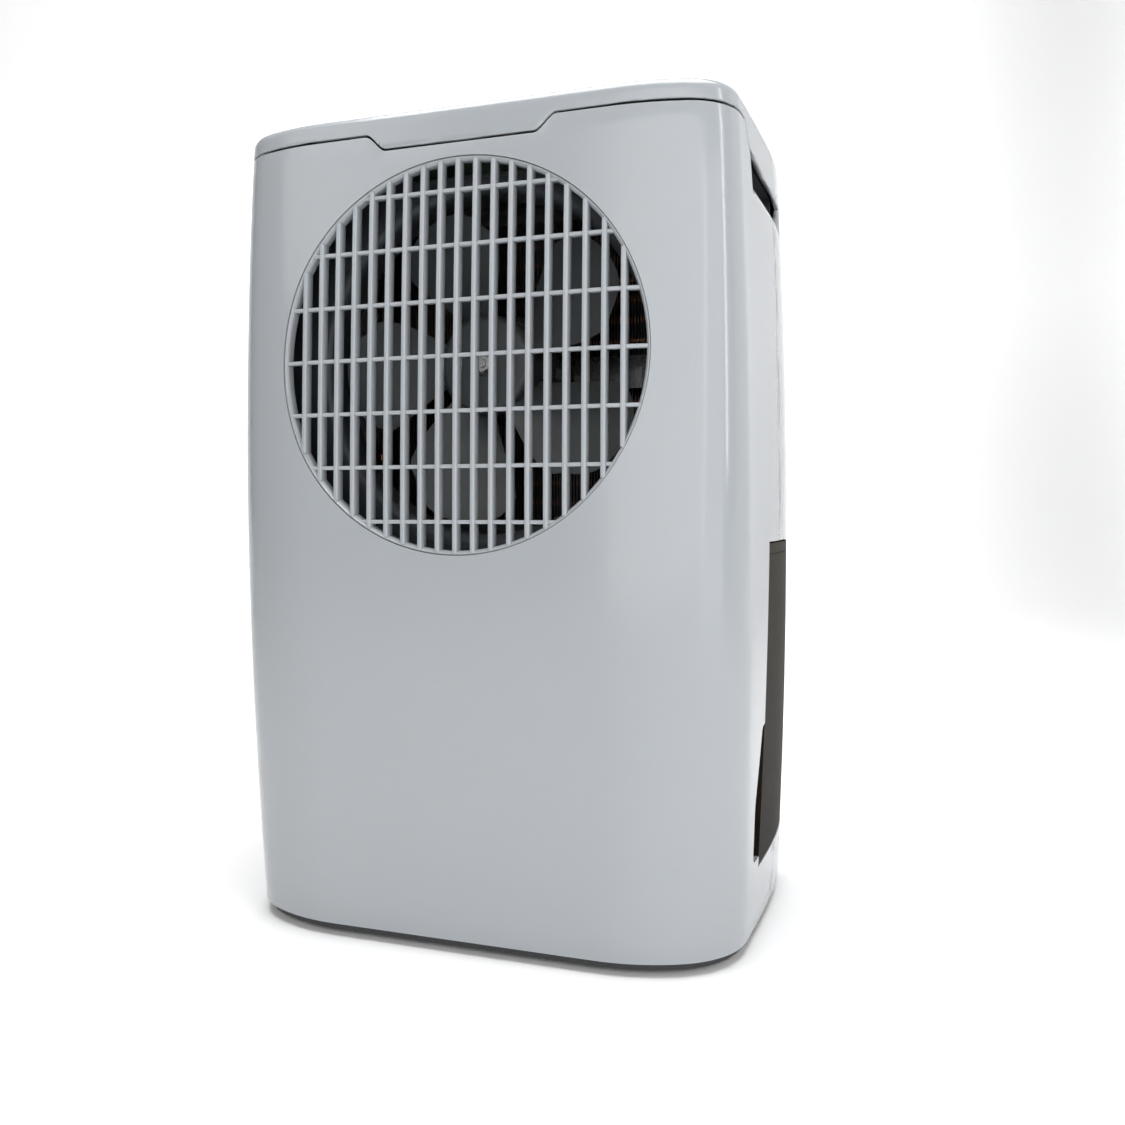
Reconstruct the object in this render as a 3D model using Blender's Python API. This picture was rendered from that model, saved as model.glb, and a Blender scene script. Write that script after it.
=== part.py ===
"""Portable room dehumidifier, 310 x 220 x 465 mm.

Air enters through the grille and filter at the rear, passes the cold and the warm
coil, and the fan blows it out through the round grille in the front panel. Water
drips from the cold coil into a tray and runs into a tank that slides out rearward.
Metres, +Z up, front towards -Y, origin on the floor under the middle of the body.
"""
import math

import bmesh
import bpy
from mathutils import Matrix, Vector

# Driving sizes of the whole body
WIDTH = 0.310
DEPTH = 0.220
HEIGHT = 0.465
SIDE_BULGE = 0.006
FRONT_BULGE = 0.006
REAR_BULGE = 0.003
WIDEST_BEFORE_REAR = 0.085
WIDEST_Y = DEPTH / 2 - WIDEST_BEFORE_REAR

# Fits between pieces
SEAM_GAP = 0.0004
TOUCH_GAP = 0.0003
RUN_GAP = 0.0006
SLIDE_GAP = 0.0010

# Casing walls and their edges
WALL = 0.0025
ROLL_RADIUS = (0.095, 0.130)
ROLL_ANGLE = (28.0, 17.3)
CORNER_RADIUS = (0.050, 0.030)
REAR_CORNER_RADIUS = 0.024
SIDE_TURN = 2.0
REAR_TURN = 8.0
TOP_FILLET = 0.0065

# Seam between the front panel and the top cover
SEAM_BELOW_TOP = 0.012
SEAM_Z = HEIGHT - SEAM_BELOW_TOP
SEAM_DIP = 0.009
DIP_HALF = (0.044, 0.057)
SKIRT_DROP = 0.013
SKIRT_DROP_BACK = (0.050, 0.061)
SKIRT_DROP_Y = tuple(back - DEPTH / 2 for back in SKIRT_DROP_BACK)
SKIRT_FALL = 0.005
SKIRT_FALL_RUN = 0.049
SKIRT_FALL_Y = (SKIRT_DROP_Y[1], SKIRT_DROP_Y[1] + SKIRT_FALL_RUN)

# Carrying grips under the cover's side skirts
GRIP_BEFORE_REAR = 0.050
GRIP_Y = (SKIRT_DROP_Y[1], DEPTH / 2 - GRIP_BEFORE_REAR)
GRIP_BELOW_SEAM = 0.031
GRIP_FLOOR = SEAM_Z - GRIP_BELOW_SEAM
GRIP_RUN = 0.005
GRIP_DEPTH = 0.024
GRIP_WALL = 0.003

# Base and feet
PANEL_BOTTOM = 0.007
FOOT_RADIUS = 0.012
FOOT_HEIGHT = 0.0027
FOOT_CHAMFER = 0.0006
FOOT_FROM_EDGES = (0.050, 0.040)
FOOT_PLACE = (WIDTH / 2 - FOOT_FROM_EDGES[0], DEPTH / 2 - FOOT_FROM_EDGES[1])
PAN_FLOOR = 0.003
PAN_RIM = 0.014

# Front grille
GRILLE_BELOW_SEAM = 0.1267
GRILLE_Z = SEAM_Z - GRILLE_BELOW_SEAM
GRILLE_RADIUS = 0.1088
GRILLE_RIM = 0.0026
GRILLE_DEPTH = 0.0065
GRILLE_SET_BACK = 0.0006
BAR_PITCH = 0.01047
BAR_COUNT = 19
BAR_WIDTH = 0.0029
CROSS_PITCH = 0.0302
CROSS_COUNT = 7
CROSS_WIDTH = 0.0022
CROSS_SET_BACK = 0.0009
CROSS_SHORT = 0.0012

# Fan, motor and shroud
SHROUD_BACK = 0.040
SHROUD_Y = SHROUD_BACK - DEPTH / 2
SHROUD_WALL = 0.0025
SHROUD_ROOM = 0.019
SHROUD_HALF = (WIDTH / 2 - SHROUD_ROOM, 0.1085)
ORIFICE_MARGIN = (0.038, 0.0105)
ORIFICE_RADIUS = min(half - margin for half, margin in zip(SHROUD_HALF, ORIFICE_MARGIN))
ORIFICE_LIP = 0.024
BLADE_COUNT = 5
BLADE_TIP_GAP = 0.005
BLADE_SWEEP = 52.0
BLADE_DEPTH = 0.016
BLADE_WALL = 0.0018
BLADE_LEAN = 10.0
BLADE_FIRST = 31.0
HUB_RADIUS = 0.029
HUB_LENGTH = 0.022
HUB_BEHIND_SHROUD = 0.024
HUB_Y = SHROUD_Y + HUB_BEHIND_SHROUD
SHAFT_RADIUS = 0.0026
SHAFT_TIP = 0.0045
NUT_RADIUS = 0.0052
NUT_LENGTH = 0.0030
MOTOR_RADIUS = 0.033
MOTOR_LENGTH = 0.034
MOTOR_GAP = 0.007
STRAP_WIDTH = 0.020
STRAP_WALL = 0.0020
STRAP_FROM_SHROUD_END = 0.023
STRAP_HALF = SHROUD_HALF[0] - STRAP_FROM_SHROUD_END

# Coils, tray and tank bay
TRAY_WALL = 0.0020
TRAY_EDGE = 0.0075
TRAY_ROOM = 0.0025
SPOUT_RADIUS = 0.006
BAY_WALL = 0.0025
CEILING_BELOW_GRILLE = 0.1013
BAY_CEILING = GRILLE_Z - CEILING_BELOW_GRILLE
BAY_FLOOR = 0.041
BAY_BEFORE_REAR = 0.026
BAY_REAR = DEPTH / 2 - BAY_BEFORE_REAR
BAY_SIDE_ROOM = 0.013
BAY_HALF = WIDTH / 2 - BAY_SIDE_ROOM
BAY_LEAN = 0.0131

# Water tank
TANK_ROOM = 0.002
TANK_TOP = BAY_CEILING - TANK_ROOM
BAY_SLOPE = BAY_LEAN / (TANK_TOP - BAY_FLOOR)
COMPRESSOR_RADIUS = 0.034
COMPRESSOR_FRONT_ROOM = 0.0095
COMPRESSOR_BACK = COMPRESSOR_FRONT_ROOM + COMPRESSOR_RADIUS
TANK_BEHIND_COMPRESSOR = 0.0195
TANK_BEHIND_FRONT = COMPRESSOR_BACK + COMPRESSOR_RADIUS + TANK_BEHIND_COMPRESSOR
TANK_FRONT_Y = TANK_BEHIND_FRONT - DEPTH / 2
TANK_WALL = 0.0025
LID_HEIGHT = 0.0065
LID_PLATE = 0.0025
LID_RIM = 0.0035
LID_HOLE = 0.013
SPOUT_X = 0.030
SPOUT_BEHIND_TANK_FRONT = 0.065
SPOUT_PLACE = (SPOUT_X, TANK_FRONT_Y + SPOUT_BEHIND_TANK_FRONT)
CUP_WALL = 0.002
CUP_DEPTH = 0.020
NOTCH_Z = (0.047, 0.121)
NOTCH_REACH = (0.031, 0.015)
NOTCH_Y = tuple(TANK_FRONT_Y - reach for reach in NOTCH_REACH)
NOTCH_KNEE = 0.079

# Float inside the tank
FLOAT_X = -0.090
FLOAT_BEHIND_TANK_FRONT = 0.023
FLOAT_BELOW_TANK_TOP = 0.019
FLOAT_PLACE = (
    FLOAT_X,
    TANK_FRONT_Y + FLOAT_BEHIND_TANK_FRONT,
    TANK_TOP - FLOAT_BELOW_TANK_TOP,
)
FLOAT_ARM = (0.045, -0.012)
FLOAT_SIZE = (0.036, 0.030, 0.018)
FLOAT_PIN_RADIUS = 0.002
SWITCH_HALF = 0.008
SWITCH_DEEP = 0.0112
FLOAT_RISE = 14.0
LUG_WALL = 0.0025
LUG_RADIUS = 0.0048
ARM_WIDTH = 0.012
ARM_THICK = 0.004

# Compressor group, low behind the front panel
COMPRESSOR_X = 0.058
COMPRESSOR_PLACE = (COMPRESSOR_X, COMPRESSOR_BACK - DEPTH / 2)
COMPRESSOR_BELOW_GRILLE = 0.1463
COMPRESSOR_Z = (0.0173, GRILLE_Z - COMPRESSOR_BELOW_GRILLE)
GROMMET_RADIUS = (0.0025, 0.0060)
GROMMET_INSET = 0.011
GROMMET_CIRCLE = COMPRESSOR_RADIUS - GROMMET_INSET
STUB_X = 0.025
STUB_RADIUS = 0.004
STUB_LENGTH = 0.004
STUB_TOP = COMPRESSOR_Z[1] + STUB_LENGTH
TERMINAL_SIZE = (0.024, 0.019, 0.012)
ACCUMULATOR_RADIUS = 0.014
ACCUMULATOR_ROOM = 0.007
ACCUMULATOR_AWAY = (-COMPRESSOR_RADIUS - ACCUMULATOR_RADIUS - ACCUMULATOR_ROOM, -0.0015)
ACCUMULATOR_PLACE = tuple(c + away for c, away in zip(COMPRESSOR_PLACE, ACCUMULATOR_AWAY))
ACCUMULATOR_DROP = 0.005
ACCUMULATOR_Z = (0.060, COMPRESSOR_Z[1] - ACCUMULATOR_DROP)
CAPACITOR_ROOM = 0.050
CAPACITOR_BEHIND_COMPRESSOR = 0.022
CAPACITOR_PLACE = (
    CAPACITOR_ROOM - WIDTH / 2,
    COMPRESSOR_PLACE[1] + CAPACITOR_BEHIND_COMPRESSOR,
)
CAPACITOR_RADIUS = 0.017
CAPACITOR_DROP = 0.020
CAPACITOR_LENGTH = 0.065
CAPACITOR_TOP = COMPRESSOR_Z[1] - CAPACITOR_DROP
CAPACITOR_Z = (CAPACITOR_TOP - CAPACITOR_LENGTH, CAPACITOR_TOP)

# Controls in the top cover
DECK_BACK = 0.058
DECK_CENTRE_Y = DECK_BACK - DEPTH / 2
DECK_HALF = (0.082, 0.030)
DECK_SINK = 0.0070
DECK_WALL = 0.0030
DECK_CORNER = 0.008
KNOB_X = -0.050
KNOB_RADIUS = 0.019
KNOB_HEIGHT = 0.0062
BUTTON_X = (0.000, 0.026, 0.052)
BUTTON_BEFORE_DECK_CENTRE = 0.008
BUTTON_Y = DECK_CENTRE_Y - BUTTON_BEFORE_DECK_CENTRE
BUTTON_RADIUS = 0.0075
BUTTON_PROUD = 0.0022
BUTTON_LENGTH = 0.0085
BUTTON_TRAVEL = 0.0012
LAMP_BEHIND_DECK_CENTRE = 0.011
LAMP_Y = DECK_CENTRE_Y + LAMP_BEHIND_DECK_CENTRE
LAMP_RADIUS = 0.0022

# Rear inlet grille and filter
INLET_SIDE_ROOM = 0.039
INLET_HALF = WIDTH / 2 - INLET_SIDE_ROOM
INLET_ABOVE_CEILING = 0.021
INLET_BELOW_SEAM = 0.029
INLET_Z = (BAY_CEILING + INLET_ABOVE_CEILING, SEAM_Z - INLET_BELOW_SEAM)
INLET_PLATE = 0.003
INLET_DEPTH = 0.010
INLET_BORDER = 0.011
SLAT_COUNT = 13
SLAT_GAP = 0.0085
RIB_COUNT = 1
RIB_WIDTH = 0.006
FILTER_WALL = 0.0035
FILTER_BORDER = 0.009
FILTER_MESH = 0.0010
SENSOR_SIZE = (0.012, 0.006, 0.006)

# Fixings at the rear
SCREW_RADIUS = (0.0036, 0.0016)
SCREW_HEAD = 0.0018
SCREW_LENGTH = 0.010
SCREW_FROM_SIDE = 0.060
SCREW_X = WIDTH / 2 - SCREW_FROM_SIDE
SCREW_ABOVE_CEILING = 0.012
SCREW_Z = (0.027, BAY_CEILING + SCREW_ABOVE_CEILING)
GLAND_INSIDE_SCREW = 0.035
GLAND_PLACE = (GLAND_INSIDE_SCREW - SCREW_X, 0.027)
GLAND_RADIUS = (0.0035, 0.0060, 0.0090)
GLAND_FLANGE = 0.0018

# Coils and drier, in the room between the motor and the filter
COIL_SIDE_ROOM = 0.049
COIL_HALF = WIDTH / 2 - COIL_SIDE_ROOM
COIL_ABOVE_CEILING = 0.0075
COIL_BELOW_SEAM = 0.027
COIL_Z = (BAY_CEILING + COIL_ABOVE_CEILING, SEAM_Z - COIL_BELOW_SEAM)
COIL_PLATE = 0.0015
COIL_SPACE = 0.008
CONDENSER_BEHIND_HUB = 0.054
CONDENSER_Y = HUB_Y + CONDENSER_BEHIND_HUB
COILS_BEFORE_REAR = 0.034
COIL_STACK = DEPTH / 2 - COILS_BEFORE_REAR - CONDENSER_Y - COIL_SPACE
CONDENSER_PART = 26 / 60
CONDENSER_DEPTH = COIL_STACK * CONDENSER_PART
EVAPORATOR_DEPTH = COIL_STACK - CONDENSER_DEPTH
DRIER_BESIDE_COIL = 0.018
DRIER_BEHIND_CONDENSER = 0.022
DRIER_PLACE = (COIL_HALF + DRIER_BESIDE_COIL, CONDENSER_Y + DRIER_BEHIND_CONDENSER)
DRIER_RADIUS = 0.008
DRIER_ABOVE_COIL_FOOT = 0.0225
DRIER_LENGTH = 0.065
DRIER_LOW = COIL_Z[0] + DRIER_ABOVE_COIL_FOOT
DRIER_Z = (DRIER_LOW, DRIER_LOW + DRIER_LENGTH)

ROUND = 32
FINE_ROUND = 48
SMOOTH_ANGLE = math.radians(32)


# ---------------------------------------------------------------- plain helpers
def blend(pair, share):
    """Value a share of the way from the first of a pair to the second."""
    return pair[0] + (pair[1] - pair[0]) * share


def ramp(value, start, end):
    """Smooth step from 0 at start to 1 at end."""
    share = min(max((value - start) / (end - start), 0.0), 1.0)
    return share * share * (3.0 - 2.0 * share)


def clear_scene():
    for thing in list(bpy.data.objects):
        bpy.data.objects.remove(thing, do_unlink=True)


def finish_of(name, colour, roughness, metallic=0.0, alpha=1.0):
    """One Principled material for one sub-part."""
    material = bpy.data.materials.new(name)
    material.use_nodes = True
    shader = material.node_tree.nodes["Principled BSDF"]
    shader.inputs["Base Color"].default_value = (*colour, 1.0)
    shader.inputs["Roughness"].default_value = roughness
    shader.inputs["Metallic"].default_value = metallic
    shader.inputs["Alpha"].default_value = alpha
    return material


def body_from(name, mesh_data, finish=None):
    """Object from a bmesh, with its faces pointing outwards."""
    bmesh.ops.recalc_face_normals(mesh_data, faces=mesh_data.faces)
    mesh = bpy.data.meshes.new(name)
    mesh_data.to_mesh(mesh)
    mesh_data.free()
    mesh.shade_smooth()
    mesh.set_sharp_from_angle(angle=SMOOTH_ANGLE)
    thing = bpy.data.objects.new(name, mesh)
    bpy.context.scene.collection.objects.link(thing)
    if finish is not None:
        mesh.materials.append(finish)
    return thing


def combine(thing, other, operation):
    """Apply an exact boolean and remove the other shape."""
    step = thing.modifiers.new(operation.lower(), "BOOLEAN")
    step.operation = operation
    step.solver = "EXACT"
    step.object = other
    graph = bpy.context.evaluated_depsgraph_get()
    graph.update()
    result = bpy.data.meshes.new_from_object(thing.evaluated_get(graph))
    thing.modifiers.remove(step)
    old = thing.data
    thing.data = result
    bpy.data.meshes.remove(old)
    bpy.data.objects.remove(other, do_unlink=True)
    result.shade_smooth()
    result.set_sharp_from_angle(angle=SMOOTH_ANGLE)
    return thing


def cut(thing, *others):
    for other in others:
        combine(thing, other, "DIFFERENCE")
    return thing


def add(thing, *others):
    for other in others:
        combine(thing, other, "UNION")
    return thing


def block(name, low, high, finish=None):
    """Box between two corners."""
    shape = bmesh.new()
    size = Vector(high) - Vector(low)
    middle = (Vector(high) + Vector(low)) / 2
    place = Matrix.Translation(middle) @ Matrix.Diagonal((*size, 1.0))
    bmesh.ops.create_cube(shape, size=1.0, matrix=place)
    return body_from(name, shape, finish)


def prism(name, outline, axis, low, high, finish=None):
    """Outline extruded along an axis; the outline is in the other two axes, in order."""
    shape = bmesh.new()
    layers = []
    for level in (low, high):
        layer = []
        for first, second in outline:
            spot = [first, second]
            spot.insert("XYZ".index(axis), level)
            layer.append(shape.verts.new(spot))
        layers.append(layer)
    count = len(outline)
    shape.faces.new(layers[0])
    shape.faces.new(layers[1])
    for k in range(count):
        n = (k + 1) % count
        shape.faces.new((layers[0][k], layers[0][n], layers[1][n], layers[1][k]))
    return body_from(name, shape, finish)


def turned(name, profile, axis, centre, finish=None, sides=ROUND, phase=0.0):
    """Profile of (radius, distance along the axis) turned into one closed body."""
    shape = bmesh.new()
    frame = {"X": (1, 2, 0), "Y": (2, 0, 1), "Z": (0, 1, 2)}[axis]
    rings = []
    for radius, along in profile:
        spots = 1 if radius == 0.0 else sides
        ring = []
        for k in range(spots):
            angle = phase + 2.0 * math.pi * k / sides
            spot = [0.0, 0.0, 0.0]
            spot[frame[0]] = centre[frame[0]] + radius * math.cos(angle)
            spot[frame[1]] = centre[frame[1]] + radius * math.sin(angle)
            spot[frame[2]] = centre[frame[2]] + along
            ring.append(shape.verts.new(spot))
        rings.append(ring)
    closed = profile[0][0] > 0.0
    pairs = list(zip(rings, rings[1:]))
    if closed:
        pairs.append((rings[-1], rings[0]))
    for one, two in pairs:
        for k in range(sides):
            n = (k + 1) % sides
            corners = [one[k % len(one)], one[n % len(one)], two[n % len(two)], two[k % len(two)]]
            shape.faces.new(list(dict.fromkeys(corners)))
    return body_from(name, shape, finish)


def rod(name, radius, low, high, axis, centre, finish=None, sides=ROUND):
    """Solid cylinder from low to high along an axis."""
    profile = [(0.0, low), (radius, low), (radius, high), (0.0, high)]
    return turned(name, profile, axis, centre, finish, sides)


def ring_body(name, inner, outer, low, high, axis, centre, finish=None, sides=ROUND):
    """Tube with square ends."""
    profile = [(inner, low), (outer, low), (outer, high), (inner, high)]
    return turned(name, profile, axis, centre, finish, sides)


def rounded_outline(half_x, half_y, centre, corner, steps=4):
    """Rectangle with round corners, as points in order."""
    points = []
    for turn, (sx, sy) in enumerate(((1, 1), (-1, 1), (-1, -1), (1, -1))):
        for k in range(steps + 1):
            angle = math.pi / 2 * (turn + k / steps)
            x = centre[0] + sx * (half_x - corner) + corner * math.cos(angle)
            y = centre[1] + sy * (half_y - corner) + corner * math.sin(angle)
            points.append((x, y))
    return points


# ---------------------------------------------------------------- body outline
def swell(z):
    """0 at mid-height, 1 at the floor and at the top."""
    share = (z - HEIGHT / 2) / (HEIGHT / 2)
    return share * share


def half_width(z):
    return WIDTH / 2 - SIDE_BULGE * swell(z)


def front_y(z):
    return -(DEPTH / 2 - FRONT_BULGE * swell(z))


def rear_y(z):
    return DEPTH / 2 - REAR_BULGE * swell(z)


def arcs(z):
    """Arcs of one half outline, front to rear: (centre x, centre y, radius, start, end)."""
    share = z / HEIGHT
    roll = blend(ROLL_RADIUS, share)
    roll_end = math.radians(blend(ROLL_ANGLE, share))
    corner = blend(CORNER_RADIUS, share)
    corner_end = math.radians(90.0 - SIDE_TURN)
    square = math.radians(90.0)
    taper_end = math.radians(90.0 + REAR_TURN)
    front = front_y(z)
    corner_y = front + roll * (1.0 - math.cos(roll_end))
    side_y = corner_y + corner * (math.cos(roll_end) - math.cos(corner_end))
    side = (WIDEST_Y - side_y) / math.cos(corner_end)
    wide = half_width(z)
    side_x = wide - side * (1.0 - math.sin(corner_end))
    corner_x = side_x - corner * (math.sin(corner_end) - math.sin(roll_end))
    rear = rear_y(z)
    taper_y = rear - REAR_CORNER_RADIUS * (1.0 + math.cos(taper_end))
    taper = (taper_y - WIDEST_Y) / -math.cos(taper_end)
    taper_x = wide - taper * (1.0 - math.sin(taper_end))
    rear_x = taper_x - REAR_CORNER_RADIUS * math.sin(taper_end)
    return (
        (corner_x - roll * math.sin(roll_end), front + roll, roll, 0.0, roll_end),
        (
            corner_x - corner * math.sin(roll_end),
            corner_y + corner * math.cos(roll_end),
            corner,
            roll_end,
            corner_end,
        ),
        (wide - side, WIDEST_Y, side, corner_end, square),
        (wide - taper, WIDEST_Y, taper, square, taper_end),
        (rear_x, rear - REAR_CORNER_RADIUS, REAR_CORNER_RADIUS, taper_end, math.pi),
    )


def front_surface(x, z):
    """Front of the body at a place on its flat or on the roll beside it."""
    centre_x, centre_y, radius = arcs(z)[0][:3]
    beyond = max(abs(x) - centre_x, 0.0)
    return centre_y - math.sqrt(radius * radius - beyond * beyond)


def on_arc(arc, share, inset):
    centre_x, centre_y, radius, start, end = arc
    angle = blend((start, end), share)
    reach = radius - inset
    return centre_x + reach * math.sin(angle), centre_y - reach * math.cos(angle)


def column_places():
    """Columns of the half outline: a fixed x on the flat front, or (arc, share)."""
    side = arcs(SEAM_Z)[2]
    taper = arcs(SEAM_Z)[3]
    side_start = on_arc(side, 0.0, 0.0)[1]
    taper_end = on_arc(taper, 1.0, 0.0)[1]
    places = [0.0]
    places += [blend(DIP_HALF, k / 4) for k in range(5)]
    places += [(0, k / 3) for k in range(4)]
    places += [(1, (k + 1) / 6) for k in range(6)]
    side_stops = (
        SKIRT_DROP_Y[0],
        blend(SKIRT_DROP_Y, 0.5),
        SKIRT_DROP_Y[1],
        GRIP_Y[0] + GRIP_RUN,
        blend((GRIP_Y[0], SKIRT_FALL_Y[1]), 0.5),
        SKIRT_FALL_Y[1],
        WIDEST_Y,
    )
    places += [(2, (y - side_start) / (WIDEST_Y - side_start)) for y in side_stops]
    widest = len(places) - 1
    taper_stops = (
        blend((WIDEST_Y, GRIP_Y[1] - GRIP_RUN), 0.5),
        GRIP_Y[1] - GRIP_RUN,
        GRIP_Y[1],
        blend((GRIP_Y[1], taper_end), 0.5),
        taper_end,
    )
    places += [(3, (y - WIDEST_Y) / (taper_end - WIDEST_Y)) for y in taper_stops]
    places += [(4, (k + 1) / 5) for k in range(5)]
    places.append(None)
    return places, widest


PLACES, WIDEST = column_places()


def column_at(k, z, inset):
    """Point (x, y) of a column of the right half, at a height and an inset."""
    place = PLACES[k]
    if place is None:
        return 0.0, rear_y(z) - inset
    if isinstance(place, float):
        return place, front_y(z) + inset
    return on_arc(arcs(z)[place[0]], place[1], inset)


def side_x(y, z, inset):
    """Half width of the body's side at a given y, between the corners."""
    arc = arcs(z)[2] if y < WIDEST_Y else arcs(z)[3]
    reach = arc[2] - inset
    return arc[0] + math.sqrt(reach * reach - (y - arc[1]) ** 2)


def loop_columns():
    """All columns round the body, as (number, side)."""
    last = len(PLACES) - 1
    right = [(k, 1) for k in range(last + 1)]
    left = [(k, -1) for k in range(last - 1, 0, -1)]
    return right + left


def front_columns():
    left = [(k, -1) for k in range(WIDEST, 0, -1)]
    right = [(k, 1) for k in range(WIDEST + 1)]
    return left + right


def rear_columns():
    last = len(PLACES) - 1
    right = [(k, 1) for k in range(WIDEST, last + 1)]
    left = [(k, -1) for k in range(last - 1, WIDEST - 1, -1)]
    return right + left


def seam_z(k):
    """Height of the seam under the top cover at a column."""
    x, y = column_at(k, SEAM_Z, 0.0)
    dip = SEAM_DIP * (1.0 - ramp(abs(x), *DIP_HALF)) if y < 0.0 else 0.0
    drop = SKIRT_DROP * ramp(y, *SKIRT_DROP_Y)
    fall = SKIRT_FALL * ramp(y, *SKIRT_FALL_Y)
    return SEAM_Z - dip - drop - fall


def casing_top(k):
    """Top edge of the lower casings: under the seam, lower at the carrying grip."""
    y = column_at(k, SEAM_Z, 0.0)[1]
    enter = ramp(y, GRIP_Y[0], GRIP_Y[0] + GRIP_RUN)
    leave = ramp(y, GRIP_Y[1] - GRIP_RUN, GRIP_Y[1])
    return blend((seam_z(k) - SEAM_GAP, GRIP_FLOOR), enter * (1.0 - leave))


def grid_of(shape, columns, low, high, rings, inset, shift):
    """Vertices over the columns, from low(k) to high(k)."""
    grid = []
    for k, side in columns:
        row = []
        for j in range(rings + 1):
            z = blend((low(k), high(k)), j / rings)
            x, y = column_at(k, z, inset)
            if k == WIDEST:
                y += shift
            row.append(shape.verts.new((side * x, y, z)))
        grid.append(row)
    return grid


def skin_rows(shape, grid, closed):
    count = len(grid)
    for k in range(count if closed else count - 1):
        one = grid[k]
        two = grid[(k + 1) % count]
        for j in range(len(one) - 1):
            shape.faces.new((one[j], two[j], two[j + 1], one[j + 1]))


def casing(name, columns, low, high, rings, inset, wall, finish, closed=False, shift=0.0):
    """Curved wall of the body between two heights, as one closed solid."""
    shape = bmesh.new()
    outer = grid_of(shape, columns, low, high, rings, inset, shift)
    inner = grid_of(shape, columns, low, high, rings, inset + wall, shift)
    skin_rows(shape, outer, closed)
    skin_rows(shape, inner, closed)
    count = len(outer)
    for k in range(count if closed else count - 1):
        n = (k + 1) % count
        shape.faces.new((outer[k][0], outer[n][0], inner[n][0], inner[k][0]))
        shape.faces.new((outer[k][-1], outer[n][-1], inner[n][-1], inner[k][-1]))
    if not closed:
        for k in (0, count - 1):
            for j in range(rings):
                shape.faces.new((outer[k][j], outer[k][j + 1], inner[k][j + 1], inner[k][j]))
    return body_from(name, shape, finish)


# ---------------------------------------------------------------- shared places
def tank_front(z):
    """Front of the tank, which leans forward as it goes down."""
    return TANK_FRONT_Y - BAY_SLOPE * (TANK_TOP - z)


def notch_outline(grow):
    """Finger notch ahead of the tank's front edge, as (y, z) points."""
    low, high = NOTCH_Z
    back_low = tank_front(low) + grow
    back_high = tank_front(high) + grow
    step = NOTCH_Y[1] - NOTCH_Y[0]
    return [
        (back_low, low - grow),
        (NOTCH_Y[0] + step / 3, low - grow),
        (NOTCH_Y[0] - grow, low + step / 3),
        (NOTCH_Y[0] - grow, NOTCH_KNEE),
        (NOTCH_Y[1] - grow, high + grow),
        (back_high, high + grow),
    ]


# ---------------------------------------------------------------- casing pieces
def make_front_panel(finish):
    """Front and both sides, cut out for the grille and for the tank."""
    panel = casing(
        "front_panel",
        front_columns(),
        lambda k: PANEL_BOTTOM,
        casing_top,
        7,
        0.0,
        WALL,
        finish,
        shift=-SEAM_GAP / 2,
    )
    hole = rod(
        "grille_hole", GRILLE_RADIUS, -DEPTH, 0.0, "Y", (0, 0, GRILLE_Z), sides=FINE_ROUND
    )
    top = TANK_TOP + SLIDE_GAP
    bottom = BAY_FLOOR
    opening = [
        (tank_front(bottom) - SLIDE_GAP, bottom),
        (tank_front(top) - SLIDE_GAP, top),
        (DEPTH, top),
        (DEPTH, bottom),
    ]
    tank_cut = prism("tank_cut", opening, "X", -WIDTH, WIDTH)
    notch_cut = prism("notch_cut", notch_outline(0.0), "X", -WIDTH, WIDTH)
    return cut(panel, hole, tank_cut, notch_cut)


def make_rear_shell(finish):
    """Rear wall above the tank, with the air inlet opening."""
    low = TANK_TOP + SLIDE_GAP
    shell = casing(
        "rear_shell",
        rear_columns(),
        lambda k: low,
        casing_top,
        4,
        0.0,
        WALL,
        finish,
        shift=SEAM_GAP / 2,
    )
    outline = rounded_outline(
        INLET_HALF, (INLET_Z[1] - INLET_Z[0]) / 2, (0.0, sum(INLET_Z) / 2), INLET_BORDER
    )
    return cut(shell, prism("inlet_cut", outline, "Y", DEPTH / 4, DEPTH))


def make_lower_rear_cover(finish):
    """Rear wall below the tank."""
    return casing(
        "lower_rear_cover",
        rear_columns(),
        lambda k: PANEL_BOTTOM,
        lambda k: BAY_FLOOR,
        1,
        0.0,
        WALL,
        finish,
        shift=SEAM_GAP / 2,
    )


def make_top_cover(finish):
    """Cap with a dipped front seam, low side skirts and a rounded top edge."""
    shape = bmesh.new()
    columns = loop_columns()
    shoulder = HEIGHT - TOP_FILLET
    outer = grid_of(shape, columns, seam_z, lambda k: shoulder, 2, 0.0, 0.0)
    inner = grid_of(shape, columns, seam_z, lambda k: shoulder, 2, WALL, 0.0)
    steps = 3
    for k, (number, side) in enumerate(columns):
        for j in range(1, steps + 1):
            angle = math.pi / 2 * j / steps
            z = shoulder + TOP_FILLET * math.sin(angle)
            x, y = column_at(number, shoulder, TOP_FILLET * (1.0 - math.cos(angle)))
            outer[k].append(shape.verts.new((side * x, y, z)))
        x, y = column_at(number, shoulder, TOP_FILLET)
        inner[k].append(shape.verts.new((side * x, y, HEIGHT - WALL)))
    skin_rows(shape, outer, True)
    skin_rows(shape, inner, True)
    count = len(columns)
    for k in range(count):
        n = (k + 1) % count
        shape.faces.new((outer[k][0], outer[n][0], inner[n][0], inner[k][0]))
    shape.faces.new([row[-1] for row in outer])
    shape.faces.new([row[-1] for row in inner])
    cover = body_from("top_cover", shape, finish)
    outline = rounded_outline(*DECK_HALF, (0.0, DECK_CENTRE_Y), DECK_CORNER)
    return cut(cover, prism("deck_cut", outline, "Z", SEAM_Z, HEIGHT + WALL))


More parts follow.
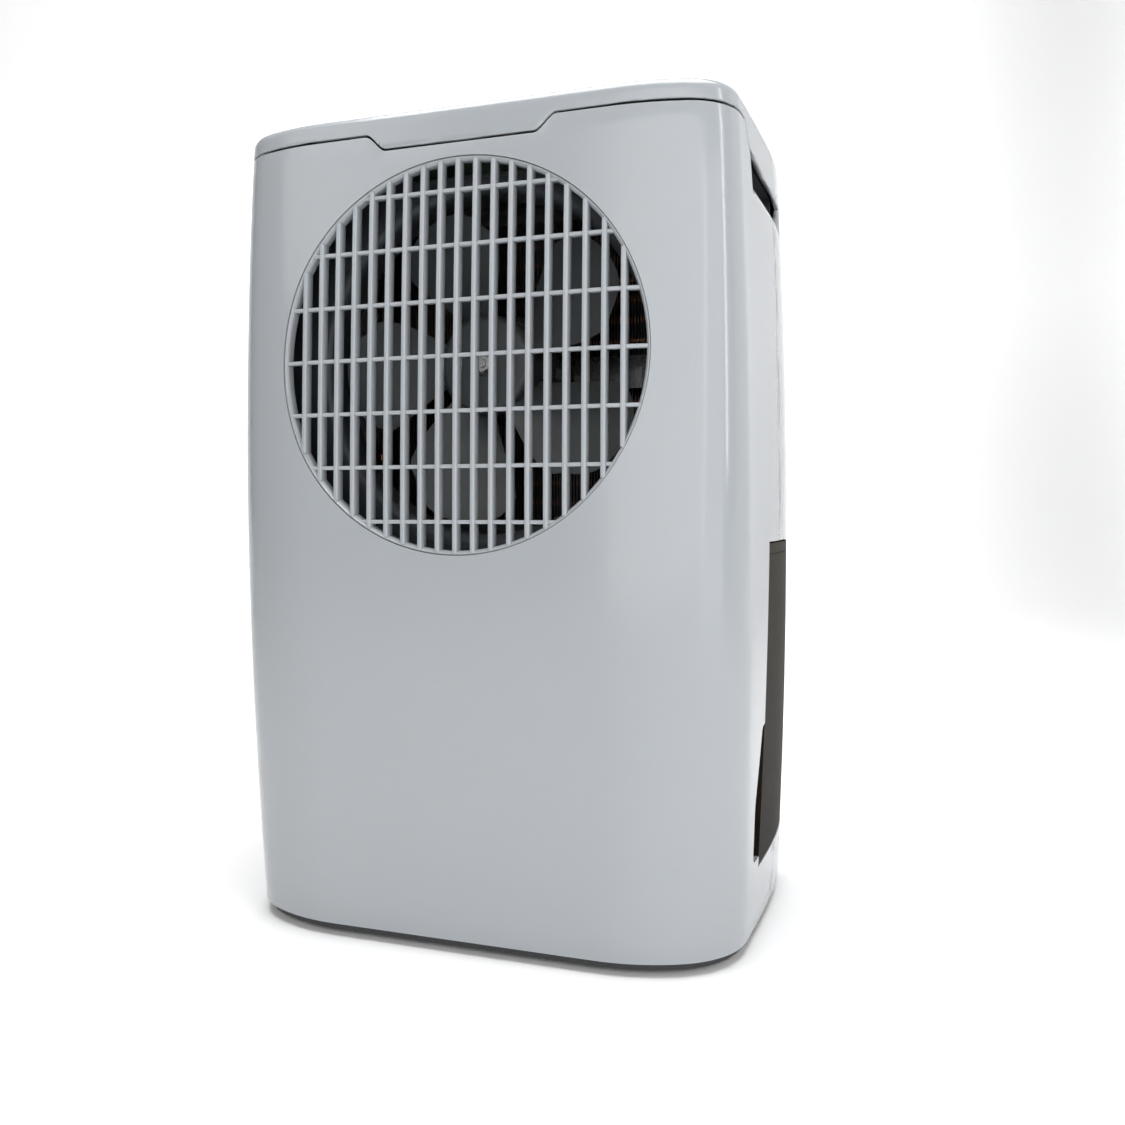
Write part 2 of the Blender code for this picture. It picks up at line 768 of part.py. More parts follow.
def make_grip(side, finish):
    """Finger pocket behind the gap under the cover's skirt."""
    name = "grip_insert_right" if side > 0 else "grip_insert_left"
    low_y, high_y = GRIP_Y
    face = min(side_x(y, GRIP_FLOOR, WALL) for y in GRIP_Y) - TOUCH_GAP - GRIP_WALL
    back = face - GRIP_DEPTH
    low_z = GRIP_FLOOR - GRIP_WALL
    high_z = SEAM_Z - SKIRT_DROP + GRIP_WALL
    pocket = block(
        name,
        (min(side * back, side * face), low_y, low_z),
        (max(side * back, side * face), high_y, high_z),
        finish,
    )
    hollow = block(
        "hollow",
        (min(side * (back + GRIP_WALL), side * WIDTH), low_y + GRIP_WALL, GRIP_FLOOR),
        (max(side * (back + GRIP_WALL), side * WIDTH), high_y - GRIP_WALL, high_z - GRIP_WALL),
    )
    return cut(pocket, hollow)


def make_base_pan(finish):
    """Tray under the whole body, inside the lower edge of the casing."""
    inset = WALL + TOUCH_GAP + RUN_GAP
    pan = casing(
        "base_pan",
        loop_columns(),
        lambda k: PAN_FLOOR,
        lambda k: PAN_RIM,
        1,
        inset,
        WALL,
        finish,
        closed=True,
    )
    shape = bmesh.new()
    layers = []
    for z in (PAN_FLOOR + TOUCH_GAP, PAN_FLOOR + WALL):
        spots = [column_at(k, z, inset + WALL / 2) for k, side in loop_columns()]
        sides = [side for k, side in loop_columns()]
        layers.append([shape.verts.new((s * x, y, z)) for (x, y), s in zip(spots, sides)])
    count = len(layers[0])
    shape.faces.new(layers[0])
    shape.faces.new(layers[1])
    for k in range(count):
        n = (k + 1) % count
        shape.faces.new((layers[0][k], layers[0][n], layers[1][n], layers[1][k]))
    return add(pan, body_from("pan_floor", shape))


def make_foot(name, x, y, finish):
    """Rubber foot with a chamfered lower edge."""
    profile = [
        (0.0, 0.0),
        (FOOT_RADIUS - FOOT_CHAMFER, 0.0),
        (FOOT_RADIUS, FOOT_CHAMFER),
        (FOOT_RADIUS, FOOT_HEIGHT),
        (0.0, FOOT_HEIGHT),
    ]
    return turned(name, profile, "Z", (x, y, 0.0), finish, 24)


def make_front_grille(finish):
    """Ring with upright bars and set-back cross bars, following the curved front."""
    middle_radius = GRILLE_RADIUS - GRILLE_RIM / 2

    def follow(shape):
        for vertex in shape.verts:
            vertex.co.y += front_surface(vertex.co.x, vertex.co.z) + GRILLE_SET_BACK

    def bar(shape, centre, half, y_low, y_high, stops, upright):
        rows = []
        for stop in stops:
            row = []
            for across, y in ((-half, y_low), (half, y_low), (half, y_high), (-half, y_high)):
                x, z = (centre + across, stop) if upright else (stop, centre + across)
                row.append(shape.verts.new((x, y, z)))
            rows.append(row)
        for one, two in zip(rows, rows[1:]):
            for k in range(4):
                n = (k + 1) % 4
                shape.faces.new((one[k], one[n], two[n], two[k]))
        shape.faces.new(rows[0])
        shape.faces.new(rows[-1])

    half_count = (BAR_COUNT - 1) // 2
    uprights = bmesh.new()
    spans = 4
    reach = (-GRILLE_RADIUS, GRILLE_RADIUS)
    stops = [GRILLE_Z + blend(reach, k / spans) for k in range(spans + 1)]
    level_spans = 8
    level_stops = [blend(reach, k / level_spans) for k in range(level_spans + 1)]
    for k in range(-half_count, half_count + 1):
        bar(uprights, k * BAR_PITCH, BAR_WIDTH / 2, 0.0, GRILLE_DEPTH, stops, True)
    follow(uprights)
    crosses = bmesh.new()
    cross_half = (CROSS_COUNT - 1) // 2
    for k in range(-cross_half, cross_half + 1):
        centre = GRILLE_Z + k * CROSS_PITCH
        back = GRILLE_DEPTH - CROSS_SHORT
        bar(crosses, centre, CROSS_WIDTH / 2, CROSS_SET_BACK, back, level_stops, False)
    follow(crosses)
    grille = body_from("front_grille", uprights, finish)
    add(grille, body_from("cross_bars", crosses))
    disc = rod("disc", middle_radius, -DEPTH, 0.0, "Y", (0, 0, GRILLE_Z), sides=FINE_ROUND)
    combine(grille, disc, "INTERSECT")
    rim = bmesh.new()
    profile = (
        (GRILLE_RADIUS - TOUCH_GAP, -TOUCH_GAP / 2),
        (GRILLE_RADIUS - TOUCH_GAP, GRILLE_DEPTH + TOUCH_GAP),
        (GRILLE_RADIUS - GRILLE_RIM, GRILLE_DEPTH + TOUCH_GAP),
        (GRILLE_RADIUS - GRILLE_RIM, -TOUCH_GAP / 2),
    )
    rings = []
    for k in range(FINE_ROUND):
        angle = 2.0 * math.pi * k / FINE_ROUND
        spots = [(r * math.cos(angle), y, GRILLE_Z + r * math.sin(angle)) for r, y in profile]
        rings.append([rim.verts.new(spot) for spot in spots])
    for k in range(FINE_ROUND):
        one = rings[k]
        two = rings[(k + 1) % FINE_ROUND]
        for j in range(4):
            i = (j + 1) % 4
            rim.faces.new((one[j], one[i], two[i], two[j]))
    follow(rim)
    return add(grille, body_from("rim", rim))


# ---------------------------------------------------------------- fan and motor
def make_fan_shroud(finish):
    """Plate behind the grille with a lipped round orifice."""
    half_x, half_z = SHROUD_HALF
    back = SHROUD_Y + SHROUD_WALL
    shroud = block(
        "fan_shroud",
        (-half_x, SHROUD_Y, GRILLE_Z - half_z),
        (half_x, back, GRILLE_Z + half_z),
        finish,
    )
    centre = (0.0, SHROUD_Y, GRILLE_Z)
    outer = ORIFICE_RADIUS + SHROUD_WALL
    lip = rod("lip", outer, SHROUD_WALL / 2, ORIFICE_LIP, "Y", centre, sides=FINE_ROUND)
    add(shroud, lip)
    hole = rod("orifice", ORIFICE_RADIUS, -WALL, DEPTH / 2, "Y", centre, sides=FINE_ROUND)
    return cut(shroud, hole)


def blade_body(turn):
    """One wide curved blade, as a closed plate."""
    shape = bmesh.new()
    root = HUB_RADIUS - BLADE_WALL
    tip = ORIFICE_RADIUS - BLADE_TIP_GAP
    spans = 4
    chords = 5
    layers = []
    for face in (-0.5, 0.5):
        grid = []
        for i in range(spans + 1):
            radius = blend((root, tip), i / spans)
            row = []
            for j in range(chords + 1):
                share = j / chords - 0.5
                reach = BLADE_SWEEP * (0.85 + 0.15 * math.sin(math.pi * i / spans))
                lean = BLADE_LEAN * i / spans
                angle = math.radians(turn + lean + reach * share)
                camber = BLADE_WALL * math.cos(math.pi * share)
                y = HUB_Y - HUB_LENGTH / 2 + BLADE_DEPTH * share - camber + face * BLADE_WALL
                spot = (radius * math.cos(angle), y, GRILLE_Z + radius * math.sin(angle))
                row.append(shape.verts.new(spot))
            grid.append(row)
        layers.append(grid)
    front, back = layers
    for grid in layers:
        for i in range(spans):
            for j in range(chords):
                corners = (grid[i][j], grid[i + 1][j], grid[i + 1][j + 1], grid[i][j + 1])
                shape.faces.new(corners)
    for i in range(spans):
        for j in (0, chords):
            shape.faces.new((front[i][j], front[i + 1][j], back[i + 1][j], back[i][j]))
    for j in range(chords):
        for i in (0, spans):
            shape.faces.new((front[i][j], front[i][j + 1], back[i][j + 1], back[i][j]))
    return body_from("blade", shape)


def make_fan_impeller(finish):
    """Five wide blades on a domed hub with a bore for the shaft."""
    centre = (0.0, HUB_Y, GRILLE_Z)
    bore = SHAFT_RADIUS + TOUCH_GAP
    edge = 0.004
    profile = [
        (bore, -HUB_LENGTH),
        (HUB_RADIUS - 2 * edge, -HUB_LENGTH),
        (HUB_RADIUS - edge / 2, edge / 2 - HUB_LENGTH),
        (HUB_RADIUS, edge - HUB_LENGTH),
        (HUB_RADIUS, 0.0),
        (bore, 0.0),
    ]
    fan = turned("fan_impeller", profile, "Y", centre, finish)
    for k in range(BLADE_COUNT):
        add(fan, blade_body(BLADE_FIRST + 360.0 * k / BLADE_COUNT))
    return fan


def make_motor_parts(steel, dark, zinc):
    """Shaft, lock nut, motor and its strap."""
    hub_front = HUB_Y - HUB_LENGTH
    motor_front = HUB_Y + MOTOR_GAP
    motor_rear = motor_front + MOTOR_LENGTH
    bore_depth = MOTOR_LENGTH * 0.6
    axis = (0.0, 0.0, GRILLE_Z)
    rod(
        "motor_shaft",
        SHAFT_RADIUS,
        hub_front - SHAFT_TIP,
        motor_front + bore_depth - TOUCH_GAP,
        "Y",
        axis,
        steel,
        16,
    )
    nut_rear = hub_front - TOUCH_GAP
    nut_bore = SHAFT_RADIUS + TOUCH_GAP
    nut = rod("fan_nut", NUT_RADIUS, nut_rear - NUT_LENGTH, nut_rear, "Y", axis, zinc, 6)
    cut(nut, rod("nut_bore", nut_bore, -DEPTH, 0.0, "Y", axis, sides=16))
    edge = 0.003
    profile = [
        (0.0, motor_front),
        (MOTOR_RADIUS - edge, motor_front),
        (MOTOR_RADIUS, motor_front + edge),
        (MOTOR_RADIUS, motor_rear - edge),
        (MOTOR_RADIUS - edge, motor_rear),
        (0.0, motor_rear),
    ]
    motor = turned("fan_motor", profile, "Y", axis, dark)
    bore_end = motor_front + bore_depth
    cut(motor, rod("bore", nut_bore, -DEPTH, bore_end, "Y", axis, sides=16))
    inner = motor_rear + TOUCH_GAP
    legs = SHROUD_Y + SHROUD_WALL + TOUCH_GAP
    outer = inner + STRAP_WALL
    narrow = STRAP_HALF - STRAP_WALL
    outline = [
        (-STRAP_HALF, legs),
        (-narrow, legs),
        (-narrow, inner),
        (narrow, inner),
        (narrow, legs),
        (STRAP_HALF, legs),
        (STRAP_HALF, outer),
        (-STRAP_HALF, outer),
    ]
    half = STRAP_WIDTH / 2
    prism("motor_strap", outline, "Z", GRILLE_Z - half, GRILLE_Z + half, zinc)


# ---------------------------------------------------------------- coils, tray and bay
def make_coil(name, front, depth, finish):
    """Fin block between two end plates."""
    low, high = COIL_Z
    plate = COIL_PLATE
    coil = block(name, (-COIL_HALF, front, low), (COIL_HALF, front + depth, high), finish)
    for side in (-1, 1):
        ends = sorted((side * (COIL_HALF - plate), side * (COIL_HALF + plate)))
        corner = (ends[0], front - plate, low - plate)
        add(coil, block("end_plate", corner, (ends[1], front + depth + plate, high + plate)))
    return coil


def make_coils(fins, copper_fins):
    make_coil("condenser_coil", CONDENSER_Y, CONDENSER_DEPTH, copper_fins)
    evaporator_y = CONDENSER_Y + CONDENSER_DEPTH + COIL_SPACE
    make_coil("evaporator_coil", evaporator_y, EVAPORATOR_DEPTH, fins)
    return evaporator_y + EVAPORATOR_DEPTH


def make_drip_tray(rear, finish):
    """Shallow tray under the coils, with a spout down through the bay ceiling."""
    low = BAY_CEILING + BAY_WALL + TOUCH_GAP
    room = TRAY_ROOM + TRAY_WALL
    half = COIL_HALF + 2 * room
    front = CONDENSER_Y - room
    floor = low + TRAY_WALL
    tray = block("drip_tray", (-half, front, low), (half, rear + room, low + TRAY_EDGE), finish)
    cut(
        tray,
        block(
            "hollow",
            (TRAY_WALL - half, front + TRAY_WALL, floor),
            (half - TRAY_WALL, rear + room - TRAY_WALL, HEIGHT),
        ),
    )
    centre = (*SPOUT_PLACE, 0.0)
    tip = TANK_TOP + RUN_GAP
    add(tray, rod("spout", SPOUT_RADIUS, tip, floor - TRAY_WALL / 2, "Z", centre, sides=20))
    inner = SPOUT_RADIUS - TRAY_WALL
    return cut(tray, rod("spout_bore", inner, 0.0, HEIGHT, "Z", centre, sides=20))


def cup_inner():
    """Distance of the finger cup's inner wall from the middle of the body."""
    return side_x(NOTCH_Y[0], NOTCH_KNEE, WALL) - CUP_DEPTH


def make_tank_bay(finish):
    """Ceiling, front wall and floor round the tank, with room for the finger cups."""
    top = BAY_CEILING + BAY_WALL
    low = BAY_FLOOR - BAY_WALL
    front = BAY_WALL + SLIDE_GAP
    outline = [
        (BAY_REAR, top),
        (tank_front(top) - front, top),
        (tank_front(low) - front, low),
        (BAY_REAR, low),
        (BAY_REAR, BAY_FLOOR),
        (tank_front(BAY_FLOOR) - SLIDE_GAP, BAY_FLOOR),
        (tank_front(BAY_CEILING) - SLIDE_GAP, BAY_CEILING),
        (BAY_REAR, BAY_CEILING),
    ]
    bay = prism("tank_bay", outline, "X", -BAY_HALF, BAY_HALF, finish)
    centre = (*SPOUT_PLACE, 0.0)
    hole = rod("hole", SPOUT_RADIUS + RUN_GAP, BAY_CEILING / 2, HEIGHT, "Z", centre, sides=20)
    cut(bay, hole)
    inner = cup_inner() - CUP_WALL - TOUCH_GAP
    grow = CUP_WALL + TOUCH_GAP
    for side in (-1, 1):
        ends = sorted((side * inner, side * WIDTH))
        corner = (ends[0], -DEPTH / 2, NOTCH_Z[0] - grow)
        cut(bay, block("room", corner, (ends[1], TANK_FRONT_Y + WALL, NOTCH_Z[1] + grow)))
    return bay


def make_finger_cup(side, finish):
    """Pocket beside the tank's front corner, open outwards and towards the tank."""
    name = "finger_cup_right" if side > 0 else "finger_cup_left"
    inner = cup_inner()
    outer = side_x(NOTCH_Y[0], NOTCH_Z[0], WALL) - RUN_GAP
    back = -SLIDE_GAP
    shell = [(y, z) for y, z in notch_outline(CUP_WALL)]
    shell[0] = (tank_front(shell[0][1]) + back, shell[0][1])
    shell[-1] = (tank_front(shell[-1][1]) + back, shell[-1][1])
    ends = sorted((side * (inner - CUP_WALL), side * outer))
    cup = prism(name, shell, "X", *ends, finish)
    hollow = notch_outline(0.0)
    hollow[0] = (DEPTH, hollow[0][1])
    hollow[-1] = (DEPTH, hollow[-1][1])
    return cut(cup, prism("hollow", hollow, "X", *sorted((side * inner, side * WIDTH))))


# ---------------------------------------------------------------- tank, lid and float
def tank_loop(z, inset, front_inset):
    """Outline of the tank at one height, as (x, y, z) points all round."""
    start = tank_front(z) + front_inset
    right = []
    for k in range(3):
        y = blend((start, WIDEST_Y), k / 3)
        right.append((side_x(y, z, inset), y, z))
    for k in range(WIDEST, len(PLACES)):
        right.append((*column_at(k, z, inset), z))
    left = [(-x, y, level) for x, y, level in reversed(right[:-1])]
    return right + left


def loft(name, loops, finish=None):
    """Closed body through loops of points, capped at the first and the last."""
    shape = bmesh.new()
    rings = [[shape.verts.new(spot) for spot in loop] for loop in loops]
    count = len(rings[0])
    for one, two in zip(rings, rings[1:]):
        for k in range(count):
            n = (k + 1) % count
            shape.faces.new((one[k], one[n], two[n], two[k]))
    shape.faces.new(rings[0])
    shape.faces.new(rings[-1])
    return body_from(name, shape, finish)


def make_water_tank(finish):
    """Open tank whose sides and rear carry on the body's outline."""
    low = BAY_FLOOR + RUN_GAP
    top = TANK_TOP - LID_HEIGHT
    floor = low + TANK_WALL
    levels = 4
    inner = TOUCH_GAP + TANK_WALL
    heights = [blend((low, top), k / levels) for k in range(levels + 1)]
    loops = [tank_loop(z, TOUCH_GAP, 0.0) for z in heights]
    depths = [blend((top, floor), k / levels) for k in range(levels + 1)]
    loops += [tank_loop(z, inner, TANK_WALL) for z in depths]
    return loft("water_tank", loops, finish)


def make_tank_lid(finish):
    """Dished lid with a funnel hole, and two lugs that carry the float."""
    low = TANK_TOP - LID_HEIGHT + TOUCH_GAP
    plate = low + LID_PLATE
    lid = loft(
        "tank_lid",
        [
            tank_loop(low, TOUCH_GAP, 0.0),
            tank_loop(TANK_TOP, TOUCH_GAP, 0.0),
            tank_loop(TANK_TOP, LID_RIM, LID_RIM),
            tank_loop(plate, LID_RIM, LID_RIM),
        ],
        finish,
    )
    cut(lid, rod("funnel", LID_HOLE, 0.0, HEIGHT, "Z", (*SPOUT_PLACE, 0.0)))
    x, y, z = FLOAT_PLACE
    gap = ARM_WIDTH / 2 + RUN_GAP
    for side in (-1, 1):
        ends = sorted((x + side * gap, x + side * (gap + LUG_WALL)))
        corner = (ends[0], y - LUG_RADIUS, z - LUG_RADIUS)
        add(lid, block("lug", corner, (ends[1], y + LUG_RADIUS, low + LID_PLATE / 2)))
    reach = gap + 2 * LUG_WALL
    pin_hole = FLOAT_PIN_RADIUS + RUN_GAP / 2
    return cut(lid, rod("pin_hole", pin_hole, x - reach, x + reach, "X", (0, y, z), sides=16))


def make_float(finish):
    """Float block on an arm with a cross pin."""
    x, y, z = FLOAT_PLACE
    arm_y, arm_z = FLOAT_ARM
    half = ARM_THICK / 2
    arm_outline = [
        (y - half, z - half),
        (y + arm_y, z + arm_z - half),
        (y + arm_y, z + arm_z + half),
        (y - half, z + half),
    ]
    width = ARM_WIDTH / 2
    arm = prism("tank_float", arm_outline, "X", x - width, x + width, finish)
    wide, deep, tall = FLOAT_SIZE
    centre_y = y + arm_y + deep / 2 - ARM_THICK
    centre_z = z + arm_z - half
    add(
        arm,
        block(
            "buoy",
            (x - wide / 2, centre_y - deep / 2, centre_z - tall / 2),
            (x + wide / 2, centre_y + deep / 2, centre_z + tall / 2),
        ),
    )
    reach = width + RUN_GAP + LUG_WALL
    pin = rod("pin", FLOAT_PIN_RADIUS, x - reach, x + reach, "X", (0, y, z), sides=16)
    return add(arm, pin)


def make_tank_switch(finish):
    """Sensor for the float, on the dry side of the bay wall."""
    x, y, z = FLOAT_PLACE
    half = SWITCH_HALF
    back = tank_front(z - half) - SLIDE_GAP - BAY_WALL - TOUCH_GAP
    return block(
        "tank_switch", (x - half, back - SWITCH_DEEP, z - half), (x + half, back, z + half), finish
    )


# ---------------------------------------------------------------- rear grille and filter
def bend_to_rear(thing):
    """Move a flat piece so that its zero follows the rear's curve."""
    for vertex in thing.data.vertices:
        vertex.co.y += rear_y(vertex.co.z)
    return thing


def make_inlet_grille(finish):
    """Slatted cover in a shallow frame that carries the filter."""
    half = INLET_HALF - RUN_GAP
    low = INLET_Z[0] + RUN_GAP
    high = INLET_Z[1] - RUN_GAP
    centre = (0.0, (low + high) / 2)
    corner = INLET_BORDER - RUN_GAP
    tall = (high - low) / 2
    outline = rounded_outline(half, tall, centre, corner, 3)
    grille = prism("inlet_grille", outline, "Y", -INLET_DEPTH, -TOUCH_GAP, finish)
    inside = rounded_outline(half - INLET_PLATE, tall - INLET_PLATE, centre, corner / 2, 3)
    cut(grille, prism("hollow", inside, "Y", -2 * INLET_DEPTH, -INLET_PLATE))
    slots = bmesh.new()
    pitch = (2 * tall - 2 * INLET_BORDER) / SLAT_COUNT
    columns = RIB_COUNT + 1
    open_width = (2 * half - 2 * INLET_BORDER - RIB_COUNT * RIB_WIDTH) / columns
    for row in range(SLAT_COUNT):
        z = low + INLET_BORDER + pitch * (row + 0.5)
        for column in range(columns):
            left = -half + INLET_BORDER + column * (open_width + RIB_WIDTH)
            place = Matrix.Translation((left + open_width / 2, 0.0, z))
            size = Matrix.Diagonal((open_width, 4 * INLET_DEPTH, SLAT_GAP, 1.0))
            bmesh.ops.create_cube(slots, size=1.0, matrix=place @ size)
    cut(grille, body_from("slots", slots))
    return bend_to_rear(grille)


def make_filter(frame_finish, mesh_finish):
    """Filter frame with a cross rib, and the mesh in front of it."""
    half = INLET_HALF - INLET_PLATE - 2 * RUN_GAP
    low = INLET_Z[0] + INLET_PLATE + 2 * RUN_GAP
    high = INLET_Z[1] - INLET_PLATE - 2 * RUN_GAP
    rear = rear_y(high) - INLET_DEPTH - TOUCH_GAP
    front = rear - FILTER_WALL
    frame = block("air_filter_frame", (-half, front, low), (half, rear, high), frame_finish)
    rib = FILTER_BORDER / 2
    for side in (-1, 1):
        ends = sorted((side * rib, side * (half - FILTER_BORDER)))
        corner = (ends[0], 0.0, low + FILTER_BORDER)
        cut(frame, block("window", corner, (ends[1], DEPTH, high - FILTER_BORDER)))
    mesh_rear = front - TOUCH_GAP
    corner = (-half, mesh_rear - FILTER_MESH, low)
    block("air_filter_mesh", corner, (half, mesh_rear, high), mesh_finish)


def make_humidity_sensor(finish):
    """Small vented box inside the rear wall, above the inlet."""
    x = -INLET_HALF + INLET_BORDER
    low = INLET_Z[1] + RUN_GAP
    high = low + SENSOR_SIZE[2]
    rear = rear_y(high) - WALL - TOUCH_GAP
    first = (x, rear - SENSOR_SIZE[1], low)
    return block("humidity_sensor", first, (x + SENSOR_SIZE[0], rear, high), finish)


# ---------------------------------------------------------------- compressor group
def make_compressor(finish, cover_finish, rubber):
    """Hermetic can on a foot plate, its terminal cover and three grommets."""
    x, y = COMPRESSOR_PLACE
    low, high = COMPRESSOR_Z
    radius = COMPRESSOR_RADIUS
    plate = 0.0025
    shoulder = 0.020
    profile = [
        (0.0, low),
        (radius * 0.9, low),
        (radius * 0.9, low + plate),
        (radius * 0.85, low + 2 * plate),
        (radius, low + shoulder * 0.65),
        (radius, high - shoulder),
        (radius * 0.94, high - shoulder * 0.55),
        (radius * 0.74, high - shoulder * 0.2),
        (radius * 0.40, high),
        (0.0, high),
    ]
    can = turned("compressor_body", profile, "Z", (x, y, 0.0), finish)
    stub = (x + STUB_X, y, 0.0)
    add(can, rod("stub", STUB_RADIUS, high - shoulder, STUB_TOP, "Z", stub, sides=16))
    wide, deep, tall = TERMINAL_SIZE
    base = high + TOUCH_GAP
    corner = (x - wide / 2, y - deep / 2, base)
    block("terminal_cover", corner, (x + wide / 2, y + deep / 2, base + tall), cover_finish)
    inner, outer = GROMMET_RADIUS
    for k in range(3):
        angle = math.radians(90.0 + 120.0 * k)
        spot = (x + GROMMET_CIRCLE * math.cos(angle), y + GROMMET_CIRCLE * math.sin(angle), 0.0)
        foot = PAN_FLOOR + WALL + TOUCH_GAP
        name = f"compressor_grommet_{k + 1}"
        ring_body(name, inner, outer, foot, low - TOUCH_GAP, "Z", spot, rubber, 16)


def make_accumulator(finish):
    """Slim vessel beside the compressor, necked at its top."""
    low, high = ACCUMULATOR_Z
    radius = ACCUMULATOR_RADIUS
    neck = radius * 0.4
    edge = radius * 0.6
    profile = [
        (0.0, low),
        (neck, low),
        (radius, low + edge),
        (radius, high - 2 * edge),
        (neck, high - edge),
        (neck, high),
        (0.0, high),
    ]
    return turned("accumulator", profile, "Z", (*ACCUMULATOR_PLACE, 0.0), finish, 20)


def make_capacitor(finish):
    low, high = CAPACITOR_Z
    radius = CAPACITOR_RADIUS
    edge = 0.0015
    profile = [
        (0.0, low),
        (radius - edge, low),
        (radius, low + edge),
        (radius, high - edge),
        (radius - edge, high),
        (0.0, high),
    ]
    return turned("run_capacitor", profile, "Z", (*CAPACITOR_PLACE, 0.0), finish, 24)


def make_drier(finish):
    low, high = DRIER_Z
    radius = DRIER_RADIUS
    neck = radius * 0.35
    profile = [
        (0.0, low),
        (neck, low),
        (radius, low + radius),
        (radius, high - radius),
        (neck, high),
        (0.0, high),
    ]
    return turned("filter_drier", profile, "Z", (*DRIER_PLACE, 0.0), finish, 16)


def smooth_route(stops, per_span):
    """Points on a Catmull-Rom curve through the stops."""
    points = [Vector(stop) for stop in stops]
    padded = [2 * points[0] - points[1], *points, 2 * points[-1] - points[-2]]
    route = []
    for k in range(1, len(padded) - 2):
        a, b, c, d = padded[k - 1:k + 3]
        for j in range(per_span):
            t = j / per_span
            straight = 2 * b + (c - a) * t
            curve = (2 * a - 5 * b + 4 * c - d) * t * t + (3 * b - a - 3 * c + d) * t ** 3
            route.append((straight + curve) / 2)
    route.append(points[-1])
    return route


def make_pipe(name, radius, stops, finish, per_span=3):
    """Tube swept along a smooth route, with filled ends."""
    curve = bpy.data.curves.new(name, "CURVE")
    curve.dimensions = "3D"
    curve.bevel_depth = radius
    curve.bevel_resolution = 1
    curve.resolution_u = 1
    curve.render_resolution_u = 0
    curve.use_fill_caps = True
    route = smooth_route(stops, per_span)
    first, second, before, last = (Vector(stops[k]) for k in (0, 1, -2, -1))
    route.insert(1, first + (second - first).normalized() * radius / 2)
    route.insert(-1, last - (last - before).normalized() * radius / 2)
    spline = curve.splines.new("POLY")
    spline.points.add(len(route) - 1)
    for point, spot in zip(spline.points, route):
        point.co = (*spot, 1.0)
    pipe = bpy.data.objects.new(name, curve)
    bpy.context.scene.collection.objects.link(pipe)
    curve.materials.append(finish)
    return pipe


def make_pipes(copper):
    """Refrigerant pipes between the compressor, the coils and the drier."""
    x, y = COMPRESSOR_PLACE
    stub = (x + STUB_X, y)
    plate = COIL_HALF + COIL_PLATE + TOUCH_GAP
    low, high = COIL_Z
    condenser = CONDENSER_Y + CONDENSER_DEPTH / 2
    evaporator = CONDENSER_Y + CONDENSER_DEPTH + COIL_SPACE + EVAPORATOR_DEPTH / 2
    side = plate + 0.020
    rise_y = CONDENSER_Y - 0.028
    make_pipe(
        "discharge_pipe",
        0.003,
        (
            (*stub, STUB_TOP + TOUCH_GAP),
            (*stub, STUB_TOP + 0.012),
            (stub[0] + 0.018, y + 0.008, STUB_TOP + 0.026),
            (side - 0.002, y + 0.030, low),
            (side, rise_y, low + 0.070),
            (side, rise_y + 0.012, low + 0.130),
            (side - 0.002, condenser - 0.012, high - 0.030),
            (plate + 0.010, condenser, high - 0.016),
            (plate, condenser, high - 0.016),
        ),
        copper,
    )
    tank_x, tank_y = ACCUMULATOR_PLACE
    neck = ACCUMULATOR_Z[1] + TOUCH_GAP
    make_pipe(
        "suction_pipe",
        0.0045,
        (
            (-plate, evaporator, low + 0.021),
            (-plate - 0.011, evaporator, low + 0.021),
            (-side, evaporator - 0.016, low + 0.024),
            (-side - 0.002, condenser, low + 0.026),
            (-side - 0.002, rise_y, low + 0.020),
            (-side + 0.008, y + 0.024, low - 0.008),
            (-plate + 0.040, y + 0.018, low - 0.024),
            (tank_x - 0.018, y + 0.006, low - 0.028),
            (tank_x, tank_y, neck + 0.018),
            (tank_x, tank_y, neck),
        ),
        copper,
    )
    foot = ACCUMULATOR_Z[0] - TOUCH_GAP
    can_side = x - COMPRESSOR_RADIUS - TOUCH_GAP
    make_pipe(
        "accumulator_pipe",
        0.0035,
        (
            (tank_x, tank_y, foot),
            (tank_x, tank_y, foot - 0.010),
            (tank_x + 0.008, tank_y, foot - 0.020),
            (can_side, tank_y, foot - 0.020),
        ),
        copper,
    )
    drier_x, drier_y = DRIER_PLACE
    make_pipe(
        "liquid_line",
        0.0025,
        (
            (plate, condenser, low + 0.009),
            (plate + 0.006, condenser, low + 0.009),
            (drier_x - 0.001, drier_y - 0.003, low + 0.012),
            (drier_x, drier_y, DRIER_Z[0] - 0.004),
            (drier_x, drier_y, DRIER_Z[0] - TOUCH_GAP),
        ),
        copper,
    )
    make_pipe(
        "capillary_tube",
        0.0012,
        (
            (drier_x, drier_y, DRIER_Z[1] + TOUCH_GAP),
            (drier_x, drier_y, DRIER_Z[1] + 0.010),
            (drier_x + 0.003, drier_y + 0.012, DRIER_Z[1] + 0.030),
            (drier_x - 0.002, evaporator - 0.004, high - 0.050),
            (plate + 0.007, evaporator, high - 0.032),
            (plate, evaporator, high - 0.032),
        ),
        copper,
    )


